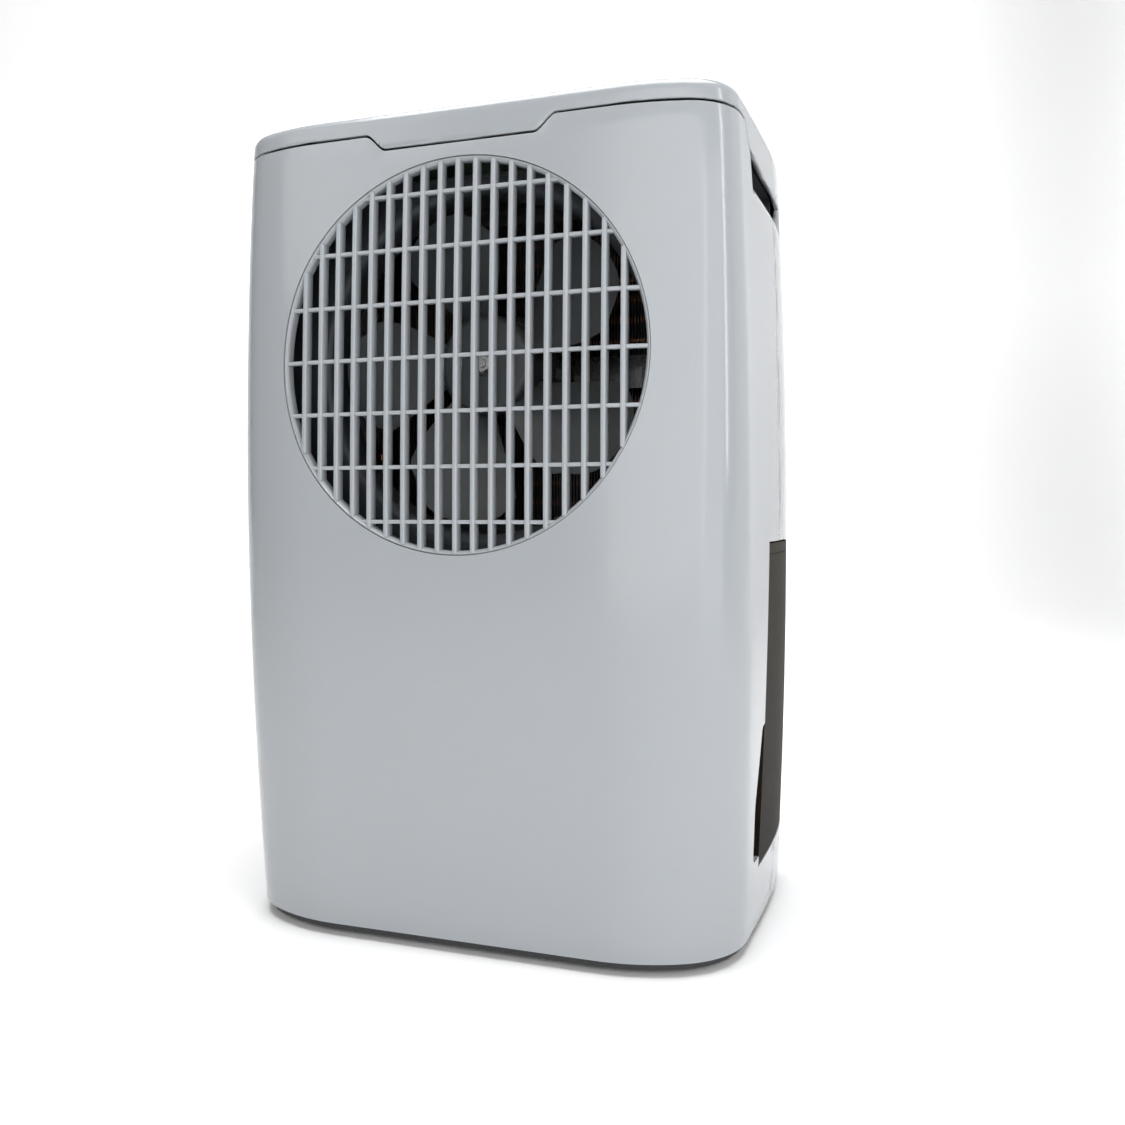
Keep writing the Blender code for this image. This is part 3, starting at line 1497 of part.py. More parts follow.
# ---------------------------------------------------------------- controls
def make_deck(finish):
    """Sunk tray that holds the controls, level with the top cover."""
    half_x, half_y = (size - TOUCH_GAP for size in DECK_HALF)
    centre = (0.0, DECK_CENTRE_Y)
    surface = HEIGHT - DECK_SINK
    corner = DECK_CORNER - TOUCH_GAP
    rim = DECK_WALL / 2
    outer = rounded_outline(half_x, half_y, centre, corner)
    inner = rounded_outline(half_x - rim, half_y - rim, centre, corner - rim)
    deck = prism("control_deck", outer, "Z", surface - DECK_WALL, HEIGHT - TOUCH_GAP, finish)
    cut(deck, prism("sink", inner, "Z", surface, HEIGHT + WALL))
    spindle = (KNOB_X, DECK_CENTRE_Y, 0.0)
    hole = KNOB_RADIUS * 0.2
    cut(deck, rod("spindle_hole", hole, 0.0, HEIGHT + WALL, "Z", spindle, sides=20))
    for x in BUTTON_X:
        centre = (x, BUTTON_Y, 0.0)
        radius = BUTTON_RADIUS + TOUCH_GAP
        cut(deck, rod("button_hole", radius, 0.0, HEIGHT + WALL, "Z", centre, sides=24))
        centre = (x, LAMP_Y, 0.0)
        radius = LAMP_RADIUS + TOUCH_GAP / 2
        cut(deck, rod("lamp_hole", radius, 0.0, HEIGHT + WALL, "Z", centre, sides=12))
    return surface


def make_controls(surface, pale, dark, board_green, glow):
    """Knob, its humidistat, three buttons, three lamps and the board."""
    bottom = surface + BUTTON_PROUD - BUTTON_LENGTH
    board_top = bottom - 2 * BUTTON_TRAVEL
    board = DECK_HALF[0] * 0.9, DECK_HALF[1] * 0.8
    thick = 0.0016
    low = (-board[0], DECK_CENTRE_Y - board[1], board_top - thick)
    high = (board[0], DECK_CENTRE_Y + board[1], board_top)
    block("control_board", low, high, board_green)
    edge = 0.0008
    for k, x in enumerate(BUTTON_X):
        profile = [
            (0.0, bottom),
            (BUTTON_RADIUS, bottom),
            (BUTTON_RADIUS, surface + BUTTON_PROUD - edge),
            (BUTTON_RADIUS - edge, surface + BUTTON_PROUD),
            (0.0, surface + BUTTON_PROUD),
        ]
        name = ("power_button", "fan_speed_button", "timer_button")[k]
        turned(name, profile, "Z", (x, BUTTON_Y, 0.0), pale, 24)
        profile = [
            (0.0, surface - DECK_WALL),
            (LAMP_RADIUS, surface - DECK_WALL),
            (LAMP_RADIUS, surface),
            (LAMP_RADIUS * 0.6, surface + edge),
            (0.0, surface + edge),
        ]
        name = ("power_lamp", "tank_full_lamp", "timer_lamp")[k]
        turned(name, profile, "Z", (x, LAMP_Y, 0.0), glow, 12)
    grip = KNOB_RADIUS * 0.92
    spindle = KNOB_RADIUS * 0.16
    depth = DECK_WALL + 0.004
    base = surface + TOUCH_GAP
    profile = [
        (0.0, base - depth),
        (spindle, base - depth),
        (spindle, base),
        (KNOB_RADIUS, base),
        (KNOB_RADIUS, base + edge),
        (grip, base + KNOB_HEIGHT - 2 * edge),
        (grip - 2 * edge, base + KNOB_HEIGHT),
        (0.0, base + KNOB_HEIGHT),
    ]
    centre = (KNOB_X, DECK_CENTRE_Y, 0.0)
    turned("humidistat_knob", profile, "Z", centre, pale)
    top = surface - DECK_WALL - TOUCH_GAP
    low = board_top + TOUCH_GAP
    bore = spindle + TOUCH_GAP / 2
    ring_body("humidistat_body", bore, KNOB_RADIUS * 0.7, low, top, "Z", centre, dark, 20)


# ---------------------------------------------------------------- fixings
def make_fixings(shell, cover, steel, rubber):
    """Rear screws in their holes, and the cord gland in the lower cover."""
    head, shank = SCREW_RADIUS
    for level, casing_piece in zip(SCREW_Z[::-1], (shell, cover)):
        for side in (-1, 1):
            centre = (side * SCREW_X, 0.0, level)
            hole = head + TOUCH_GAP
            cut(casing_piece, rod("hole", hole, DEPTH / 4, DEPTH, "Y", centre, sides=16))
            top = rear_y(level) - 2 * TOUCH_GAP
            profile = [
                (0.0, top - SCREW_LENGTH),
                (shank, top - SCREW_LENGTH),
                (shank, top - SCREW_HEAD),
                (head, top - SCREW_HEAD),
                (head, top),
                (0.0, top),
            ]
            place = "right" if side > 0 else "left"
            height = "upper" if casing_piece is shell else "lower"
            turned(f"rear_screw_{height}_{place}", profile, "Y", centre, steel, 16)
    bore, neck, flange = GLAND_RADIUS
    x, z = GLAND_PLACE
    centre = (x, 0.0, z)
    hole = neck + TOUCH_GAP
    cut(cover, rod("gland_hole", hole, DEPTH / 4, DEPTH, "Y", centre, sides=24))
    wall = max(rear_y(z - flange), rear_y(z + flange)) + TOUCH_GAP
    profile = [
        (bore, wall - 3 * WALL),
        (neck, wall - 3 * WALL),
        (neck, wall),
        (flange, wall),
        (flange - GLAND_FLANGE / 2, wall + GLAND_FLANGE),
        (bore, wall + GLAND_FLANGE),
    ]
    turned("cord_gland", profile, "Y", centre, rubber, 24)


# ---------------------------------------------------------------- assembly
def main():
    clear_scene()
    pale = finish_of("casing_grey", (0.62, 0.65, 0.68), 0.32)
    dark = finish_of("dark_grey", (0.06, 0.066, 0.072), 0.55)
    shroud_grey = finish_of("shroud_grey", (0.10, 0.11, 0.12), 0.55)
    blade_grey = finish_of("blade_grey", (0.11, 0.12, 0.13), 0.45)
    smoke = finish_of("smoked_tank", (0.035, 0.026, 0.018), 0.2)
    rubber = finish_of("rubber_black", (0.02, 0.02, 0.02), 0.85)
    copper = finish_of("copper_tube", (0.60, 0.30, 0.18), 0.35, 1.0)
    fins = finish_of("coil_fins", (0.55, 0.57, 0.58), 0.4, 1.0)
    steel = finish_of("bright_steel", (0.60, 0.60, 0.62), 0.3, 1.0)
    enamel = finish_of("black_enamel", (0.018, 0.018, 0.02), 0.3)
    board = finish_of("board_green", (0.03, 0.16, 0.07), 0.5)
    glow = finish_of("lamp_green", (0.15, 0.55, 0.20), 0.2)
    gauze = finish_of("filter_gauze", (0.04, 0.04, 0.045), 0.8)

    make_front_panel(pale)
    shell = make_rear_shell(pale)
    cover = make_lower_rear_cover(pale)
    make_top_cover(pale)
    for side in (-1, 1):
        make_grip(side, dark)
        make_finger_cup(side, dark)
    make_base_pan(dark)
    foot_x, foot_y = FOOT_PLACE
    for across in (-1, 1):
        for along in (-1, 1):
            row = "rear" if along > 0 else "front"
            place = "right" if across > 0 else "left"
            make_foot(f"foot_{row}_{place}", across * foot_x, along * foot_y, rubber)
    make_front_grille(pale)
    make_fan_shroud(shroud_grey)
    make_fan_impeller(blade_grey)
    make_motor_parts(steel, enamel, steel)
    coil_rear = make_coils(fins, fins)
    make_drip_tray(coil_rear, dark)
    make_tank_bay(dark)
    make_water_tank(smoke)
    make_tank_lid(smoke)
    make_float(pale)
    make_tank_switch(dark)
    make_inlet_grille(pale)
    make_filter(dark, gauze)
    make_humidity_sensor(dark)
    make_compressor(enamel, dark, rubber)
    make_accumulator(enamel)
    make_capacitor(steel)
    make_drier(copper)
    make_pipes(copper)
    surface = make_deck(dark)
    make_controls(surface, pale, dark, board, glow)
    make_fixings(shell, cover, steel, rubber)


main()
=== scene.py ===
import math

import bmesh
import bpy
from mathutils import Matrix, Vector
from mathutils.bvhtree import BVHTree
from mathutils.interpolate import poly_3d_calc


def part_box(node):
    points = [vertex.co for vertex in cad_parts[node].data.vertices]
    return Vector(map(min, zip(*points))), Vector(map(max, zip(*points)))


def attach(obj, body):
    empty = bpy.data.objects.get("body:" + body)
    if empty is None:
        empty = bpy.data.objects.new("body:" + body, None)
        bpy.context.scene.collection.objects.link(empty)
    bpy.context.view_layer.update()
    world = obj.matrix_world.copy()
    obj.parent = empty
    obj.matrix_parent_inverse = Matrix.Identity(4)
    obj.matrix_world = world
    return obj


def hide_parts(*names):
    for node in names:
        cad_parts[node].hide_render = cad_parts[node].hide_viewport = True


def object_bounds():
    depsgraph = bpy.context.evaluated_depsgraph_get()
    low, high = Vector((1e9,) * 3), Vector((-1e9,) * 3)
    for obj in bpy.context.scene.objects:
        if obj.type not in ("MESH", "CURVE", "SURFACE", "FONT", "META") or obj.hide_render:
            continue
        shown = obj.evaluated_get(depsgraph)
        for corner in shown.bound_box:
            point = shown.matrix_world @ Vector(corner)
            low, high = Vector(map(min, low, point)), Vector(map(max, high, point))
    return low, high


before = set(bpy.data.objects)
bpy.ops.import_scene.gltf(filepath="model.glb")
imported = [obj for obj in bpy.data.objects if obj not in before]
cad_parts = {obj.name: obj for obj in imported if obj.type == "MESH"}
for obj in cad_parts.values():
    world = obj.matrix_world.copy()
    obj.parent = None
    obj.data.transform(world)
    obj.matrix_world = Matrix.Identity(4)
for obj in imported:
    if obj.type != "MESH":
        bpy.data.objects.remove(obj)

cad_low, cad_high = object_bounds()


# ---------------------------------------------------------------- photographic set
# A sheet of white paper swept up behind the machine, its far part glowing unevenly as painted light; one
# long soft box at its right side, a broad one overhead and a weak fill from the left.
def paper_sweep():
    width, reach, rise = 16.0, 3.0, 3.4
    bend = 0.9
    profile = [(-reach, 0.0), (reach - bend, 0.0)]
    for k in range(1, 13):
        turn = math.pi / 2 * k / 12
        profile.append((reach - bend + bend * math.sin(turn), bend * (1 - math.cos(turn))))
    profile.append((reach, rise))
    verts = []
    faces = []
    for y, z in profile:
        verts += [(-width / 2, y, z), (width / 2, y, z)]
    for k in range(len(profile) - 1):
        faces.append((2 * k, 2 * k + 1, 2 * k + 3, 2 * k + 2))
    mesh = bpy.data.meshes.new("paper_sweep")
    mesh.from_pydata(verts, [], faces)
    mesh.shade_smooth()
    paper = bpy.data.objects.new("paper_sweep", mesh)
    bpy.context.scene.collection.objects.link(paper)
    material = bpy.data.materials.new("white_paper_painted_glow")
    material.use_nodes = True
    shader = material.node_tree.nodes["Principled BSDF"]
    shader.inputs["Roughness"].default_value = 0.9
    shader.inputs["Base Color"].default_value = (0.93, 0.93, 0.93, 1.0)
    # Painted light: the paper glows by itself, not at all in front of y 0.3 and fully from y 1.3 back;
    # brightest on the left, dimmest a little right of the machine, brighter again far right.
    place = material.node_tree.nodes.new("ShaderNodeTexCoord").outputs["Object"]
    split = material.node_tree.nodes.new("ShaderNodeSeparateXYZ")
    material.node_tree.links.new(place, split.inputs[0])
    painted_glow_sum = material.node_tree.nodes.new("ShaderNodeMath")
    painted_glow_sum.operation = "ADD"
    spread = ((-0.4, 0.7, 0.60, 0.12), (0.5, 1.2, 0.0, 0.45))
    for socket, limits in zip(painted_glow_sum.inputs, spread):
        fade = material.node_tree.nodes.new("ShaderNodeMapRange")
        fade.interpolation_type = "SMOOTHERSTEP"
        for label, limit in zip(("From Min", "From Max", "To Min", "To Max"), limits):
            fade.inputs[label].default_value = limit
        material.node_tree.links.new(split.outputs["X"], fade.inputs["Value"])
        material.node_tree.links.new(fade.outputs[0], socket)
    wall = material.node_tree.nodes.new("ShaderNodeMapRange")
    wall.inputs["From Min"].default_value = 0.3
    wall.inputs["From Max"].default_value = 1.3
    material.node_tree.links.new(split.outputs["Y"], wall.inputs["Value"])
    material.node_tree.links.new(painted_glow_sum.outputs[0], wall.inputs["To Max"])
    material.node_tree.links.new(wall.outputs[0], shader.inputs["Emission Strength"])
    shader.inputs["Emission Color"].default_value = (1.0, 1.0, 1.0, 1.0)
    mesh.materials.append(material)


def soft_box(name, place, aim, width, height, power, tint=(1.0, 1.0, 1.0)):
    lamp = bpy.data.lights.new(name, "AREA")
    lamp.shape = "RECTANGLE"
    lamp.size = width
    lamp.size_y = height
    lamp.energy = power
    lamp.color = tint
    stand = bpy.data.objects.new(name, lamp)
    stand.location = place
    stand.rotation_euler = (Vector(aim) - Vector(place)).to_track_quat("-Z", "Y").to_euler()
    bpy.context.scene.collection.objects.link(stand)


def photographer():
    lens = bpy.data.cameras.new("camera")
    lens.sensor_width = 36.0
    lens.lens = 35.81
    lens.shift_x = 0.0192
    lens.shift_y = -0.0449
    camera = bpy.data.objects.new("camera", lens)
    camera.location = (0.25166, -0.66147, 0.24110)
    camera.rotation_euler = (math.pi / 2, 0.0, 0.3502)
    bpy.context.scene.collection.objects.link(camera)
    bpy.context.scene.camera = camera


paper_sweep()
photographer()
soft_box("front_panel_light", (0.79, -1.78, 0.62), (0.45, -0.1, 0.36), 2.6, 1.5, 28.0)
soft_box("side_panel_light", (1.40, -0.65, 0.45), (0.13, -0.08, 0.28), 0.9, 1.0, 5.0)
soft_box("corner_strip", (1.36, -0.07, 0.72), (0.13, -0.08, 0.32), 0.08, 0.9, 2.6)
soft_box("top_box", (0.05, -0.1, 1.6), (0.05, 0.0, 0.4), 1.4, 1.0, 32.0)
soft_box("left_fill", (-1.3, -1.5, 1.3), (-0.1, -0.1, 0.40), 1.0, 1.0, 5.0)
soft_box("backdrop_light", (-0.9, 1.3, 2.6), (-0.9, 3.0, 0.9), 2.6, 0.5, 23.0)
room = bpy.data.worlds.new("white_room")
room.use_nodes = True
room.node_tree.nodes["Background"].inputs["Color"].default_value = (0.95, 0.97, 1.0, 1.0)
room.node_tree.nodes["Background"].inputs["Strength"].default_value = 0.10
bpy.context.scene.world = room
bpy.context.scene.view_settings.view_transform = "Standard"


# ---------------------------------------------------------------- base pan and feet
# The pan is one dark tray moulded in filled polypropylene, its charcoal made darker still as painted
# shade for the shadow under the machine. It screws up into the casings, and four rubber feet are pressed
# into its underside.
width = cad_high.x - cad_low.x
depth = cad_high.y - cad_low.y
height = cad_high.z - cad_low.z
side_bulge = 0.006
front_bulge = 0.006
rear_bulge = 0.003
widest_y = 0.025
roll_radius = (0.095, 0.130)
roll_angle = (28.0, 17.3)
corner_radius = (0.050, 0.030)
rear_corner = 0.024
side_turn = 2.0
rear_turn = 8.0


def between(pair, share):
    return pair[0] + (pair[1] - pair[0]) * share


def ease(value, start, end):
    share = min(max((value - start) / (end - start), 0.0), 1.0)
    return share * share * (3.0 - 2.0 * share)


def barrel(z):
    """0 at mid-height and 1 at the floor and at the top."""
    return ((z - height / 2) / (height / 2)) ** 2


def outline_arcs(z):
    """Arcs of the right half outline from front to rear: centre, radius, start, end."""
    share = z / height
    roll = between(roll_radius, share)
    roll_end = math.radians(between(roll_angle, share))
    corner = between(corner_radius, share)
    corner_end = math.radians(90.0 - side_turn)
    square = math.radians(90.0)
    taper_end = math.radians(90.0 + rear_turn)
    front = -(depth / 2 - front_bulge * barrel(z))
    rear = depth / 2 - rear_bulge * barrel(z)
    wide = width / 2 - side_bulge * barrel(z)
    corner_y = front + roll * (1 - math.cos(roll_end))
    side_y = corner_y + corner * (math.cos(roll_end) - math.cos(corner_end))
    side = (widest_y - side_y) / math.cos(corner_end)
    side_x = wide - side * (1 - math.sin(corner_end))
    corner_x = side_x - corner * (math.sin(corner_end) - math.sin(roll_end))
    taper_y = rear - rear_corner * (1 + math.cos(taper_end))
    taper = (taper_y - widest_y) / -math.cos(taper_end)
    rear_x = wide - taper * (1 - math.sin(taper_end)) - rear_corner * math.sin(taper_end)
    corner_centre = (
        corner_x - corner * math.sin(roll_end),
        corner_y + corner * math.cos(roll_end),
    )
    return (
        (corner_x - roll * math.sin(roll_end), front + roll, roll, 0.0, roll_end),
        (*corner_centre, corner, roll_end, corner_end),
        (wide - side, widest_y, side, corner_end, square),
        (wide - taper, widest_y, taper, square, taper_end),
        (rear_x, rear - rear_corner, rear_corner, taper_end, math.pi),
    )


def outline_point(place, z, inset):
    """Point (x, y) of the outline. A place is (arc, share), or a fixed x on the front or rear."""
    kind, value = place
    arcs = outline_arcs(z)
    if kind == "front":
        return value, arcs[0][1] - arcs[0][2] + inset
    if kind == "rear":
        return value * arcs[4][0], arcs[4][1] + arcs[4][2] - inset
    centre_x, centre_y, radius, start, end = arcs[kind]
    angle = between((start, end), value)
    reach = radius - inset
    return centre_x + reach * math.sin(angle), centre_y - reach * math.cos(angle)


def mesh_piece(name, verts, faces, sharp=32.0):
    """Closed piece from points and faces, with its normals outwards."""
    mesh = bpy.data.meshes.new(name)
    mesh.from_pydata(verts, [], faces)
    shape = bmesh.new()
    shape.from_mesh(mesh)
    bmesh.ops.recalc_face_normals(shape, faces=shape.faces)
    shape.to_mesh(mesh)
    shape.free()
    mesh.shade_smooth()
    mesh.set_sharp_from_angle(angle=math.radians(sharp))
    piece = bpy.data.objects.new(name, mesh)
    bpy.context.scene.collection.objects.link(piece)
    return piece


def add_sockets(tree, inputs):
    """Named inputs: an int, a number, a vector, a colour, or a material where there is none."""
    kinds = {int: "Int", float: "Float", type(None): "Material"}
    for label, default in inputs.items():
        kind = kinds.get(type(default)) or ("Color" if len(default) == 4 else "Vector")
        socket = tree.interface.new_socket(
            label, in_out="INPUT", socket_type=f"NodeSocket{kind}"
        )
        if default is not None:
            socket.default_value = default


def group_tree(name, inputs):
    """Shader node group that puts out a colour, a roughness and a normal."""
    tree = bpy.data.node_groups.new(name, "ShaderNodeTree")
    add_sockets(tree, inputs)
    for label, kind in (("Colour", "Color"), ("Roughness", "Float"), ("Normal", "Vector")):
        tree.interface.new_socket(label, in_out="OUTPUT", socket_type=f"NodeSocket{kind}")
    return tree, tree.nodes.new("NodeGroupInput"), tree.nodes.new("NodeGroupOutput")


def tree_math(tree, operation, *values):
    """Math node fed by numbers or sockets."""
    node = tree.nodes.new("ShaderNodeMath")
    node.operation = operation
    for slot, value in zip(node.inputs, values):
        if isinstance(value, (int, float)):
            slot.default_value = value
        else:
            tree.links.new(value, slot)
    return node.outputs[0]


def colour_mix(tree, factor, first, second, kind="MIX"):
    node = tree.nodes.new("ShaderNodeMix")
    node.data_type = "RGBA"
    node.blend_type = kind
    for slot, value in ((node.inputs[0], factor), (node.inputs[6], first), (node.inputs[7], second)):
        if isinstance(value, (int, float)):
            slot.default_value = value
        elif isinstance(value, tuple):
            slot.default_value = (*value, 1.0)
        else:
            tree.links.new(value, slot)
    return node.outputs[2]


def noise_on(tree, vector, scale, detail=2.0, roughness=0.5):
    node = tree.nodes.new("ShaderNodeTexNoise")
    node.inputs["Detail"].default_value = detail
    node.inputs["Roughness"].default_value = roughness
    tree.links.new(vector, node.inputs["Vector"])
    if isinstance(scale, (int, float)):
        node.inputs["Scale"].default_value = scale
    else:
        tree.links.new(scale, node.inputs["Scale"])
    return node.outputs[0]


def add_relief(tree, height, strength, result):
    """Bump a tenth of a millimetre deep, put out as the surface's normal."""
    bump = tree.nodes.new("ShaderNodeBump")
    bump.inputs["Distance"].default_value = 0.0001
    tree.links.new(strength, bump.inputs["Strength"])
    tree.links.new(height, bump.inputs["Height"])
    tree.links.new(bump.outputs[0], result.inputs["Normal"])


def make_moulded_surface():
    """Spark-eroded grain, slow gloss change and faint flow marks of a moulding."""
    tree, given, result = group_tree(
        "moulded_surface",
        {
            "Colour": (0.5, 0.5, 0.5, 1.0), "Mottle": 0.03, "Roughness": 0.4,
            "Roughness Spread": 0.06, "Grain Scale": 1800.0, "Grain Depth": 0.2, "Dust": 0.0,
        },
    )
    place = tree.nodes.new("ShaderNodeTexCoord").outputs["Object"]
    slow = noise_on(tree, place, 9.0, 3.0)
    fine = noise_on(tree, place, given.outputs["Grain Scale"], 2.0, 0.6)
    swing = tree_math(tree, "SUBTRACT", slow, 0.5)
    value = tree_math(tree, "MULTIPLY_ADD", swing, given.outputs["Mottle"], 1.0)
    shade = tree.nodes.new("ShaderNodeCombineColor")
    for slot in shade.inputs[:3]:
        tree.links.new(value, slot)
    toned = colour_mix(tree, 1.0, given.outputs["Colour"], shade.outputs[0], "MULTIPLY")
    facing = tree.nodes.new("ShaderNodeSeparateXYZ")
    tree.links.new(tree.nodes.new("ShaderNodeNewGeometry").outputs["Normal"], facing.inputs[0])
    upward = tree_math(tree, "MAXIMUM", facing.outputs[2], 0.0)
    settled = tree_math(tree, "MULTIPLY", upward, noise_on(tree, place, 60.0, 5.0, 0.65))
    dusty = tree_math(tree, "MULTIPLY", settled, given.outputs["Dust"])
    tree.links.new(colour_mix(tree, dusty, toned, (0.42, 0.41, 0.39)), result.inputs["Colour"])
    gloss = tree_math(tree, "MULTIPLY_ADD", swing, given.outputs["Roughness Spread"], 0.0)
    rough = tree_math(tree, "ADD", gloss, given.outputs["Roughness"])
    tree.links.new(tree_math(tree, "ADD", rough, dusty), result.inputs["Roughness"])
    add_relief(tree, fine, given.outputs["Grain Depth"], result)
    return tree


moulded_surface = make_moulded_surface()


def material_with(name, group, values, shader_values=None):
    """Material whose colour, roughness and normal come from a group."""
    material = bpy.data.materials.new(name)
    material.use_nodes = True
    tree = material.node_tree
    shader = tree.nodes["Principled BSDF"]
    surface = tree.nodes.new("ShaderNodeGroup")
    surface.node_tree = group
    for label, value in values.items():
        socket = surface.inputs[label]
        socket.default_value = (*value, 1.0) if socket.type == "RGBA" else value
    tree.links.new(surface.outputs["Colour"], shader.inputs["Base Color"])
    tree.links.new(surface.outputs["Roughness"], shader.inputs["Roughness"])
    tree.links.new(surface.outputs["Normal"], shader.inputs["Normal"])
    for label, value in (shader_values or {}).items():
        shader.inputs[label].default_value = value
    return material


def repaint(material, *nodes):
    """A frame node keeps its shape and takes a better finish."""
    for node in nodes:
        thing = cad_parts[node]
        thing.data.materials.clear()
        thing.data.materials.append(material)


# Near-black: partly the pan's own dark plastic, partly painted shade for the shadow under the machine.
pan_plastic_and_shade = material_with(
    "charcoal_polypropylene",
    moulded_surface,
    {
        "Colour": (0.018, 0.019, 0.021), "Mottle": 0.25, "Roughness": 0.52,
        "Grain Scale": 1400.0, "Grain Depth": 0.5, "Dust": 0.12,
    },
)
foot_rubber = material_with(
    "foot_rubber",
    moulded_surface,
    {
        "Colour": (0.016, 0.016, 0.017), "Mottle": 0.3, "Roughness": 0.8, "Grain Scale": 900.0,
        "Grain Depth": 0.7, "Dust": 0.25,
    },
)
repaint(pan_plastic_and_shade, "base_pan")
repaint(foot_rubber, "foot_front_left", "foot_front_right", "foot_rear_left", "foot_rear_right")


# ---------------------------------------------------------------- casings
# Front panel, top cover, rear shell and the cover below the tank are glossy light
# grey mouldings 2.5 mm thick, drafted like a barrel and meeting at hairline seams.
seam_gap = 0.0004
seam_shadow = 0.0014
wall = 0.0025
seam_z = 0.453
seam_dip = 0.009
dip_half = (0.044, 0.057)
skirt_drop = 0.013
skirt_drop_y = (-0.060, -0.049)
skirt_fall = 0.005
skirt_fall_y = (-0.049, 0.0)
grip_y = (-0.049, 0.060)
grip_floor = 0.422
grip_run = 0.005
top_fillet = 0.0065
casing_grey = (0.31, 0.328, 0.345)

casing_plastic = material_with(
    "gloss_casing_plastic",
    moulded_surface,
    {
        "Colour": casing_grey, "Mottle": 0.02, "Roughness": 0.16, "Roughness Spread": 0.05,
        "Grain Scale": 420.0, "Grain Depth": 0.035, "Dust": 0.03,
    },
    {"IOR": 1.49},
)


def seam_height(x, y):
    """Lower edge of the top cover, by the place on the outline."""
    dip = seam_dip * (1 - ease(abs(x), *dip_half)) if y < 0 else 0.0
    return seam_z - dip - skirt_drop * ease(y, *skirt_drop_y) - skirt_fall * ease(y, *skirt_fall_y)


def grip_share(y):
    """1 along the carrying grip, 0 away from it."""
    return ease(y, grip_y[0], grip_y[0] + grip_run) * (1 - ease(y, grip_y[1] - grip_run, grip_y[1]))


def casing_places():
    """Places round the right half of the outline, closer where an edge steps."""
    front = [0.0] + [dip_half[0] * k / 6 for k in range(1, 7)]
    front += [between(dip_half, k / 10) for k in range(1, 11)]
    places = [("front", x) for x in front]
    places += [(0, k / 10) for k in range(11)]
    places += [(1, k / 14) for k in range(1, 15)]
    side_start = outline_point((2, 0.0), seam_z, 0.0)[1]
    steps = [between(skirt_drop_y, k / 8) for k in range(9)]
    steps += [grip_y[0] + grip_run * k / 5 for k in range(1, 6)]
    steps += [between((grip_y[0] + grip_run, widest_y), k / 9) for k in range(1, 10)]
    places += [(2, (y - side_start) / (widest_y - side_start)) for y in steps]
    widest = len(places) - 1
    taper_end = outline_point((3, 1.0), seam_z, 0.0)[1]
    steps = [between((widest_y, grip_y[1] - grip_run), k / 5) for k in range(1, 6)]
    steps += [grip_y[1] - grip_run + grip_run * k / 5 for k in range(1, 6)]
    steps += [between((grip_y[1], taper_end), k / 4) for k in range(1, 5)]
    places += [(3, (y - widest_y) / (taper_end - widest_y)) for y in steps]
    places += [(4, k / 10) for k in range(1, 11)]
    places += [("rear", 1 - k / 10) for k in range(1, 11)]
    return places, widest


places_round, widest_place = casing_places()


def round_columns(first, last):
    """Columns of (place, side) from one place to another, right then left."""
    right = [(place, 1) for place in places_round[first:last + 1]]
    left = [(place, -1) for place in reversed(places_round[first:last + 1])]
    if first == 0 and last == len(places_round) - 1:
        return right + left[1:-1]
    if first == 0:
        return left[:-1] + right
    return right + left[1:]


def at_seam(place):
    return outline_point(place, seam_z, 0.0)


def casing_top(place):
    x, y = at_seam(place)
    return between((seam_height(x, y) - seam_shadow, grip_floor), grip_share(y))


def wall_piece(name, columns, low, high, rows, closed, scoop=False, shift=0.0):
    """Curved wall with small rounded edges, as one closed body."""
    edge = 0.0006
    verts = []
    loops = []
    for place, side in columns:
        bottom = low(place)
        top = high(place)
        share = grip_share(at_seam(place)[1]) if scoop else 0.0
        lip_z = between((edge, 0.0085), share)
        lip_in = between((edge, 0.0030), share)
        thick = wall + (lip_in - edge) * 0.9
        profile = [(bottom, wall), (bottom, edge), (bottom + edge * 0.3, edge * 0.3)]
        profile += [(between((bottom + edge, top - lip_z), k / rows), 0.0) for k in range(rows + 1)]
        for k in range(1, 5):
            turn = math.pi / 2 * k / 4
            profile.append((top - lip_z * (1 - math.sin(turn)), lip_in * (1 - math.cos(turn))))
        inner_rows = 10
        for k in range(inner_rows):
            share_down = k / (inner_rows - 1)
            z = between((top, bottom + 2 * edge), share_down)
            profile.append((z, between((thick, wall), ease(top - z, 0.0, 0.02))))
        loop = []
        for z, inset in profile:
            x, y = outline_point(place, z, inset)
            if place == places_round[widest_place]:
                y += shift
            loop.append(len(verts))
            verts.append((side * x, y, z))
        loops.append(loop)
    faces = []
    count = len(loops)
    size = len(loops[0])
    for k in range(count if closed else count - 1):
        one = loops[k]
        two = loops[(k + 1) % count]
        for j in range(size):
            i = (j + 1) % size
            faces.append((one[j], two[j], two[i], one[i]))
    if not closed:
        faces.append(tuple(loops[0]))
        faces.append(tuple(loops[-1]))
    return mesh_piece(name, verts, faces)


def carve(piece, *cutters):
    """Exact cuts, applied at once."""
    for cutter in cutters:
        step = piece.modifiers.new("cut", "BOOLEAN")
        step.operation = "DIFFERENCE"
        step.solver = "EXACT"
        step.object = cutter
        graph = bpy.context.evaluated_depsgraph_get()
        graph.update()
        mesh = bpy.data.meshes.new_from_object(piece.evaluated_get(graph))
        piece.modifiers.remove(step)
        piece.data = mesh
        bpy.data.objects.remove(cutter, do_unlink=True)
    return piece


